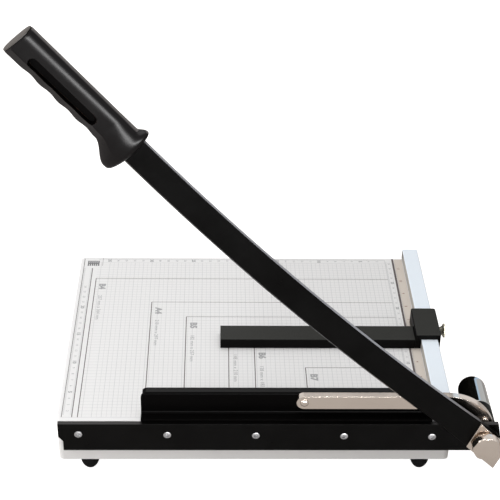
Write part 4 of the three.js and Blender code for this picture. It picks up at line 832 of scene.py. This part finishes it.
def makePanScrew(s, length):  # a domed head on a short cylinder
    domeShare = 0.65
    profile = [(0.0, -s["height"])]
    profile += arc(0, -s["height"] * (1 - domeShare), s["head"], -80, 0, 8, domeShare * s["height"] / s["head"])
    profile += [(s["head"], 0.0), (s["radius"], 0.0), (s["radius"], length - 0.5), (s["radius"] - 0.5, length),
                (0.0, length)]
    return crossCut(turned("panScrew", profile, "zincPlate", 28, direction=asMade), s, s["height"])


def makeHexNut():
    n = hexNut
    h, c = n["height"], n["chamfer"]
    corner = n["width"] / sqrt(3)
    profile = [(n["bore"], 0.0), (corner - c, 0.0), (corner, c * 0.5), (corner, h - c * 0.5), (corner - c, h),
               (n["bore"], h)]
    piece = turned("hexNut", profile, "zincPlate", 48, closed=True, direction=asMade)
    makeFlats(piece, n["width"], 0)
    shadeByAngle(piece.data, n["sharp"])
    return piece


def makeFoot():
    f = foot
    grooved = f["radius"] - f["groove"]
    steps = zip((f["radius"], grooved, grooved, f["radius"]), f["grooveSteps"])
    profile = [(0.0, 0.0)] + list(f["cone"]) + [(radius, f["height"] - below) for radius, below in steps]
    profile += [(f["radius"], f["height"]), (f["bore"], f["height"]), (f["bore"], f["boreBottom"]),
                (0.0, f["boreBottom"])]
    return turned("foot", profile, "blackRubber", 40, direction=asMade, sharp=35)


# Copies at their nodes' places, measured from one face of each node's box and set apart front and back
def placed(name, part, nodes, material, lean, seed, axis, corner, shift=0.0, apart=0.0):
    points = []
    for node in nodes:
        place = middleOf(node)
        place.y += apart * mm * (1 if place.y > 0 else -1)
        place[axis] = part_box(node)[corner][axis] + shift * mm
        points.append(place)
    mesh = bpy.data.meshes.new(name)
    mesh.from_pydata(points, [], [])
    piece = runTree(name, copying, mesh, Part=part, Lean=lean, Most_Turn=tau, Turn_Seed=seed, Metal=finish[material])
    bpy.data.objects.remove(part)
    return standIn(piece, *nodes)


axisY, axisZ, lowFace, highFace = 1, 2, 0, 1
forwards, backwards, upwards, downwards = (pi / 2, 0, 0), (-pi / 2, 0, 0), (0, 0, 0), (pi, 0, 0)
placed("bladeScrewsMade", makeBladeScrew(), numbered("blade_screw", 5), "zincPlate", forwards, 7, axisY, lowFace)
placed("bladeNutsMade", makeHexNut(), numbered("blade_nut", 5), "zincPlate", forwards, 3, axisY, lowFace)
placed("feetMade", makeFoot(), numbered("foot", 4), "blackRubber", downwards, 1, axisZ, lowFace, apart=foot["apart"])
placed("footScrewsMade", makePanScrew(panScrew, panScrew["footLength"]), numbered("foot_screw", 4), "zincPlate",
       upwards, 5, axisZ, highFace, -panScrew["height"], foot["apart"])
placed("fenceScrewsMade", makePanScrew(panScrew, panScrew["fenceLength"]), numbered("fence_screw", 3), "zincPlate",
       downwards, 2, axisZ, lowFace, panScrew["height"])
placed("gripScrewsMade", makePanScrew(gripScrew, gripScrew["length"]), numbered("handle_screw", 2), "zincPlate",
       backwards, 4, axisY, highFace, -gripScrew["height"])
print("screws, nuts and feet placed")


# Print on the board: thin ink bars on the enamel
printing = dict(
    inkThickness=0.04, front=11.0, right=-21.3, shift=0.9, frameWidth=0.9, frameTopWidth=0.55,
    frameLift=0.04, filmLeft=-10.3, filmRight=-0.35, filmFront=7.0, filmBack=300.0,
    formats=(("B4", 364, 257), ("A4", 297, 210), ("B5", 257, 182), ("A5", 210, 148), ("B6", 182, 128),
             ("B7", 128, 91)))
# Bars across (0) or along the board's depth (1): one bar's place or a first place, pitch and count, then start, end,
# width and lift
rulingRows = dict(
    columns=(0, (-345.0, 5.0, 68), 11.0, 291.0, 0.24, 0.0),
    columnsWide=(0, (-360.0, 10.0, 34), 11.0, 291.0, 0.42, 0.01),
    rowsWide=(1, (20.9, 10.0, 28), -364.0, -21.3, 0.28, 0.02),
    rowsSmall=(1, (15.9, 10.0, 28), -364.0, -21.3, 0.24, 0.02),
    frontLine=(1, 11.0, -380.7, -11.8, 0.5, 0.03),
    leftTicks=(1, (15.0, 1.0, 265), -380.3, -378.0, 0.4, 0.02),
    scaleTicks=(1, (15.0, 1.0, 265), -371.9, -369.8, 0.4, 0.02),
    backTicks=(0, (-363.0, 1.0, 342), 297.2, 299.2, 0.4, 0.02),
    rightTicks=(1, (15.0, 1.0, 280), -21.3, -19.6, 0.4, 0.02),
    columnLine=(0, -21.3, 11.0, 299.0, 0.5, 0.03))
frameRows = dict(
    edgeLine=(0, -380.3, 11.0, 299.0, 0.6, 0.03),
    scaleLine=(0, -369.8, 11.0, 279.0, 0.8, 0.03),
    cornerLine=(0, -358.6, 284.0, 300.0, 0.3, 0.03))
rulerRow = (0, -11.8, 8.0, 301.0, 2.3, 0.03)


def rows(name, axis, positions, start, end, width, lift=0.0, ink="rulingInk"):
    first, pitch, count = positions if isinstance(positions, tuple) else (positions, 0.0, 1)
    middle = (start + end) / 2
    thick = printing["inkThickness"]
    place, step, size = [first, middle], [pitch * mm, 0, 0], [width * mm, (end - start) * mm, thick * mm]
    if axis:
        place, step, size = [middle, first], [0, pitch * mm, 0], [size[1], size[0], size[2]]
    firstPlace = at(*place, thick / 2 + lift)
    return runTree(name, ruling, First=firstPlace, Step=step, Count=count, Bar_Size=size, Ink=finish[ink])


def printRuling():
    return joinPieces("boardRuling", [rows(name, *row) for name, row in rulingRows.items()])


def printFrames():
    p = printing
    parts = [rows(name, *row, ink="frameInk") for name, row in frameRows.items()]
    parts.append(rows("rulerLine", *rulerRow, ink="rulerInk"))
    for name, length, depth in p["formats"]:
        top = depth + p["shift"]
        lift = p["frameLift"]
        parts.append(rows(name + "Left", 0, -length, p["front"], top, p["frameWidth"], lift, "frameInk"))
        parts.append(rows(name + "Top", 1, top, -length, p["right"], p["frameTopWidth"], lift))
    return joinPieces("boardFrames", parts)


# Lettering: words of raised ink, most of them read from the board's back towards its front
lettering = dict(
    sharpness=3, extrusion=0.01, capital=0.72, lift=0.05, boldness=0.035, numberHeight=2.7,
    fifthHeight=4.0, backLine=(-0.7, 295.2), leftLine=(-375.2, 0.8), rightLine=(-17.0, 0.6),
    rightHeight=0.85, labelHeight=7.3, labelBold=0.05, labelFrom=(4.9, -10.0), sizeHeight=4.4,
    sizeFrom=(5.2, -33.0), inch=25.4, inchHeight=3.0, inchBold=0.012, inchLine=(-6.7, 0.9))
cornerBlock = dict(left=-375.4, step=2.4, strokes=6, front=284.0, back=294.6, strokeWidth=1.7, barWidth=2.2)


def lettered(text, x, y, height, bold=0.0, turn=-90.0, align="CENTER", ink="printInk"):
    t = lettering
    curve = bpy.data.curves.new(text, "FONT")
    curve.body = text
    curve.align_x = align
    curve.align_y = "CENTER" if align == "CENTER" else "BOTTOM_BASELINE"
    curve.resolution_u = t["sharpness"]
    curve.offset = bold
    curve.extrude = t["extrusion"]
    word = newPiece(text, curve)
    mesh = evaluated(word)
    bpy.data.objects.remove(word)
    scale = height * mm / t["capital"]  # a capital's share of the font's size
    thickness = printing["inkThickness"] * mm / (2 * t["extrusion"])
    mesh.transform(shiftedBy(at(x, y, t["lift"])) @ Matrix.Rotation(radians(turn), 4, "Z")
                   @ Matrix.Diagonal((scale, scale, thickness, 1.0)))
    return newPiece("word", mesh, ink)


def printNumbers():  # along the back edge and both side columns, every fifth one larger
    t = lettering
    plain = dict(height=t["numberHeight"], bold=0.0, ink="frameInk")
    fifth = dict(height=t["fifthHeight"], bold=t["boldness"], ink="printInk")
    words = []
    for cm in range(3, 36):
        words.append(lettered(str(cm), -10.0 * cm + t["backLine"][0], t["backLine"][1], **(plain if cm % 5 else fifth)))
    for cm in range(2, 30):
        look = plain if cm % 5 else fifth
        if cm < 25:
            words.append(lettered(str(cm), t["leftLine"][0], 10.0 * cm + t["leftLine"][1], **look))
        words.append(lettered(str(cm), t["rightLine"][0], 10.0 * cm + t["rightLine"][1],
                              look["height"] * t["rightHeight"], look["bold"], ink="frameInk"))
    return words


def printBlock():  # strokes with a bar across them, in the board's corner
    b = cornerBlock
    end = b["left"] + (b["strokes"] - 1) * b["step"]
    strokes = [rows("stroke", 0, b["left"] + i * b["step"], b["front"], b["back"], b["strokeWidth"], 0.03,
                    "printInk") for i in range(b["strokes"])]
    middle = (b["front"] + b["back"]) / 2
    return strokes + [rows("strokeBar", 1, middle, b["left"], end, b["barWidth"], 0.02, "printInk")]


def printFigures():
    t = lettering
    words = printNumbers() + printBlock()
    for name, length, depth in printing["formats"]:
        words.append(lettered(name, -length + t["labelFrom"][0], depth + t["labelFrom"][1], t["labelHeight"],
                              t["labelBold"], align="LEFT"))
        words.append(lettered(f"{depth} mm x {length} mm", -length + t["sizeFrom"][0], depth + t["sizeFrom"][1],
                              t["sizeHeight"], align="LEFT", ink="frameInk"))
    return joinPieces("boardFigures", words)


def printInches():
    t = lettering
    x, shift = t["inchLine"]
    return joinPieces("inchFigures", [lettered(str(inch), x, t["inch"] * inch + shift, t["inchHeight"], t["inchBold"],
                                               ink="redInk") for inch in range(1, 12)])


def makeFilm():
    p = printing
    middle = (p["filmLeft"] + p["filmRight"]) / 2
    width = p["filmRight"] - p["filmLeft"]
    return rows("rulerFilm", 0, middle, p["filmFront"], p["filmBack"], width, ink="rulerFilm")


for made in (printRuling(), printFrames(), printFigures(), printInches(), makeFilm()):
    keep(made, "base")
print("board printed")

# Stage, light and camera; places in metres
room = dict(
    floorHalf=30.0, floorColour=(0.6, 0.57, 0.545), floorLighter=1.02, floorSpeck=3.0, floorGlow=0.95,
    floorMirrorGlow=0.1, sky=0.38, cardSpeck=20.0)
lamps = dict(
    overheadLamp=dict(size=(1.6, 1.6), power=22.0, place=(-0.15, 0.15, 2.0), target=(0, 0, 0.1)),
    sideLamp=dict(size=(0.7, 0.7), power=7.5, place=(-0.95, -0.6, 0.5), target=(-0.1, -0.1, 0.1)),
    stripLamp=dict(size=(1.7, 0.9), power=165.0, place=(0.45, -2.4, 0.12), target=(-0.1, 0, 0.35)))
# Cards that only the plated pieces mirror: corners from the pivot, two colours and, on one, a glow
felt = dict(dark=(0.012, 0.011, 0.010), light=(0.02, 0.018, 0.016), glow=0.0)
cards = dict(
    behindCard=dict(felt, corners=((-0.22, 0.3, -0.1), (0.088, 0.3, -0.1), (0.088, 0.3, 0.3), (-0.22, 0.3, 0.3))),
    besideCard=dict(felt, corners=((-0.0165, 0.02, -0.08), (-0.0165, 0.3, -0.08), (-0.0165, 0.3, 0.028),
                                   (-0.0165, 0.02, 0.028))),
    blueCard=dict(dark=(0.62, 0.80, 1.0), light=(0.66, 0.83, 1.0), glow=1.4,
                  corners=((0.088, 0.3, -0.1), (0.15, 0.3, -0.1), (0.15, 0.3, 0.3), (0.088, 0.3, 0.3))))


def stageMaterial(name, scale, dark, light):  # a speckled colour in a tree that still lacks its shader
    made = bpy.data.materials.new(name)
    made.use_nodes = True
    tree = made.node_tree
    tree.nodes.remove(tree.nodes["Principled BSDF"])
    where = addNode(tree, "ShaderNodeTexCoord").outputs["Object"]
    speck = addNode(tree, "ShaderNodeTexNoise", Vector=where, Scale=scale)
    return made, tree, blendColours(tree, speck.outputs[0], dark, light)


def mirrorRays(tree, path):
    return sums(tree, "MAXIMUM", path.outputs["Is Glossy Ray"], path.outputs["Is Transmission Ray"])


def makeFloor():
    r = room
    shape = bmesh.new()
    bmesh.ops.create_grid(shape, x_segments=1, y_segments=1, size=r["floorHalf"])
    mesh = meshFrom("floor", shape)
    lighter = [value * r["floorLighter"] for value in r["floorColour"]]
    made, tree, tone = stageMaterial("paleFloor", r["floorSpeck"], r["floorColour"], lighter)
    matt = addNode(tree, "ShaderNodeBsdfDiffuse", Color=tone)
    path = addNode(tree, "ShaderNodeLightPath")
    strength = sums(tree, "MAXIMUM", sums(tree, "MULTIPLY", path.outputs["Is Camera Ray"], r["floorGlow"]),
                    sums(tree, "MULTIPLY", mirrorRays(tree, path), r["floorMirrorGlow"]))
    glow = addNode(tree, "ShaderNodeEmission", Color=(1, 1, 1, 1), Strength=strength)
    both = addNode(tree, "ShaderNodeAddShader")
    join(tree, matt.outputs[0], both.inputs[0])
    join(tree, glow.outputs[0], both.inputs[1])
    join(tree, both.outputs[0], tree.nodes["Material Output"].inputs["Surface"])
    mesh.materials.append(made)
    newPiece("floor", mesh)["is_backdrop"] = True


def makeCard(name, look):
    shape = bmesh.new()
    shape.faces.new([shape.verts.new(pivot + Vector(corner)) for corner in look["corners"]])
    mesh = meshFrom(name, shape)
    card = newPiece(name, mesh)
    made, tree, tone = stageMaterial(name, room["cardSpeck"], look["dark"], look["light"])
    if look["glow"]:
        shader = addNode(tree, "ShaderNodeEmission", Color=tone, Strength=look["glow"])
    else:
        shader = addNode(tree, "ShaderNodeBsdfDiffuse", Color=tone)
    join(tree, shader.outputs[0], tree.nodes["Material Output"].inputs["Surface"])
    mesh.materials.append(made)
    card.visible_camera = card.visible_diffuse = card.visible_shadow = False
    card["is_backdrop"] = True


def makeSky():
    world = bpy.data.worlds.new("paleRoom")
    scene.world = world
    world.use_nodes = True
    tree = world.node_tree
    back = tree.nodes["Background"]
    path = addNode(tree, "ShaderNodeLightPath")
    seen = sums(tree, "MAXIMUM", path.outputs["Is Camera Ray"], mirrorRays(tree, path))
    join(tree, spread(tree, seen, 0.0, 1.0, room["sky"], 1.0), back.inputs["Strength"])
    back.inputs["Color"].default_value = (1, 1, 1, 1)


def areaLamp(name, look):
    lamp = bpy.data.lights.new(name, "AREA")
    lamp.shape = "RECTANGLE"
    lamp.size, lamp.size_y = look["size"]
    lamp.energy = look["power"]
    holder = newPiece(name, lamp)
    place = Vector(look["place"])
    holder.location = place
    holder.rotation_euler = (Vector(look["target"]) - place).to_track_quat("-Z", "Y").to_euler()
    holder.visible_camera = False
    return holder


lens = dict(pitch=0.583881, yaw=0.0333114, roll=0.0229051, focal=93.766, sensor=36.0, nearest=0.01,
            place=(-226.58, -999.02, 871.70))  # radians, mm and mm from the zero lines


def makeCamera():
    c = lens
    ahead = cos(c["pitch"])
    forward = Vector((sin(c["yaw"]) * ahead, cos(c["yaw"]) * ahead, -sin(c["pitch"])))
    level = Vector((cos(c["yaw"]), -sin(c["yaw"]), 0))
    upward = level.cross(forward)
    side = cos(c["roll"]) * level + sin(c["roll"]) * upward
    top = -sin(c["roll"]) * level + cos(c["roll"]) * upward
    data = bpy.data.cameras.new("photoCamera")
    data.sensor_fit = "HORIZONTAL"
    data.sensor_width = c["sensor"]
    data.lens = c["focal"]
    data.clip_start = c["nearest"]
    camera = newPiece("photoCamera", data)
    turnedTo = Matrix((side, top, -forward)).transposed().to_4x4()
    camera.matrix_world = shiftedBy(at(*c["place"])) @ turnedTo
    scene.camera = camera


makeFloor()
makeSky()
for name, look in cards.items():
    makeCard(name, look)
made = {name: areaLamp(name, look) for name, look in lamps.items()}
made["stripLamp"].visible_diffuse = False  # it only draws the highlight along the handle
makeCamera()
print("stage set")

lowNow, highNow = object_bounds()
sizes = {"cad": [list(cadLow), list(cadHigh)], "visual": [list(lowNow), list(highNow)]}
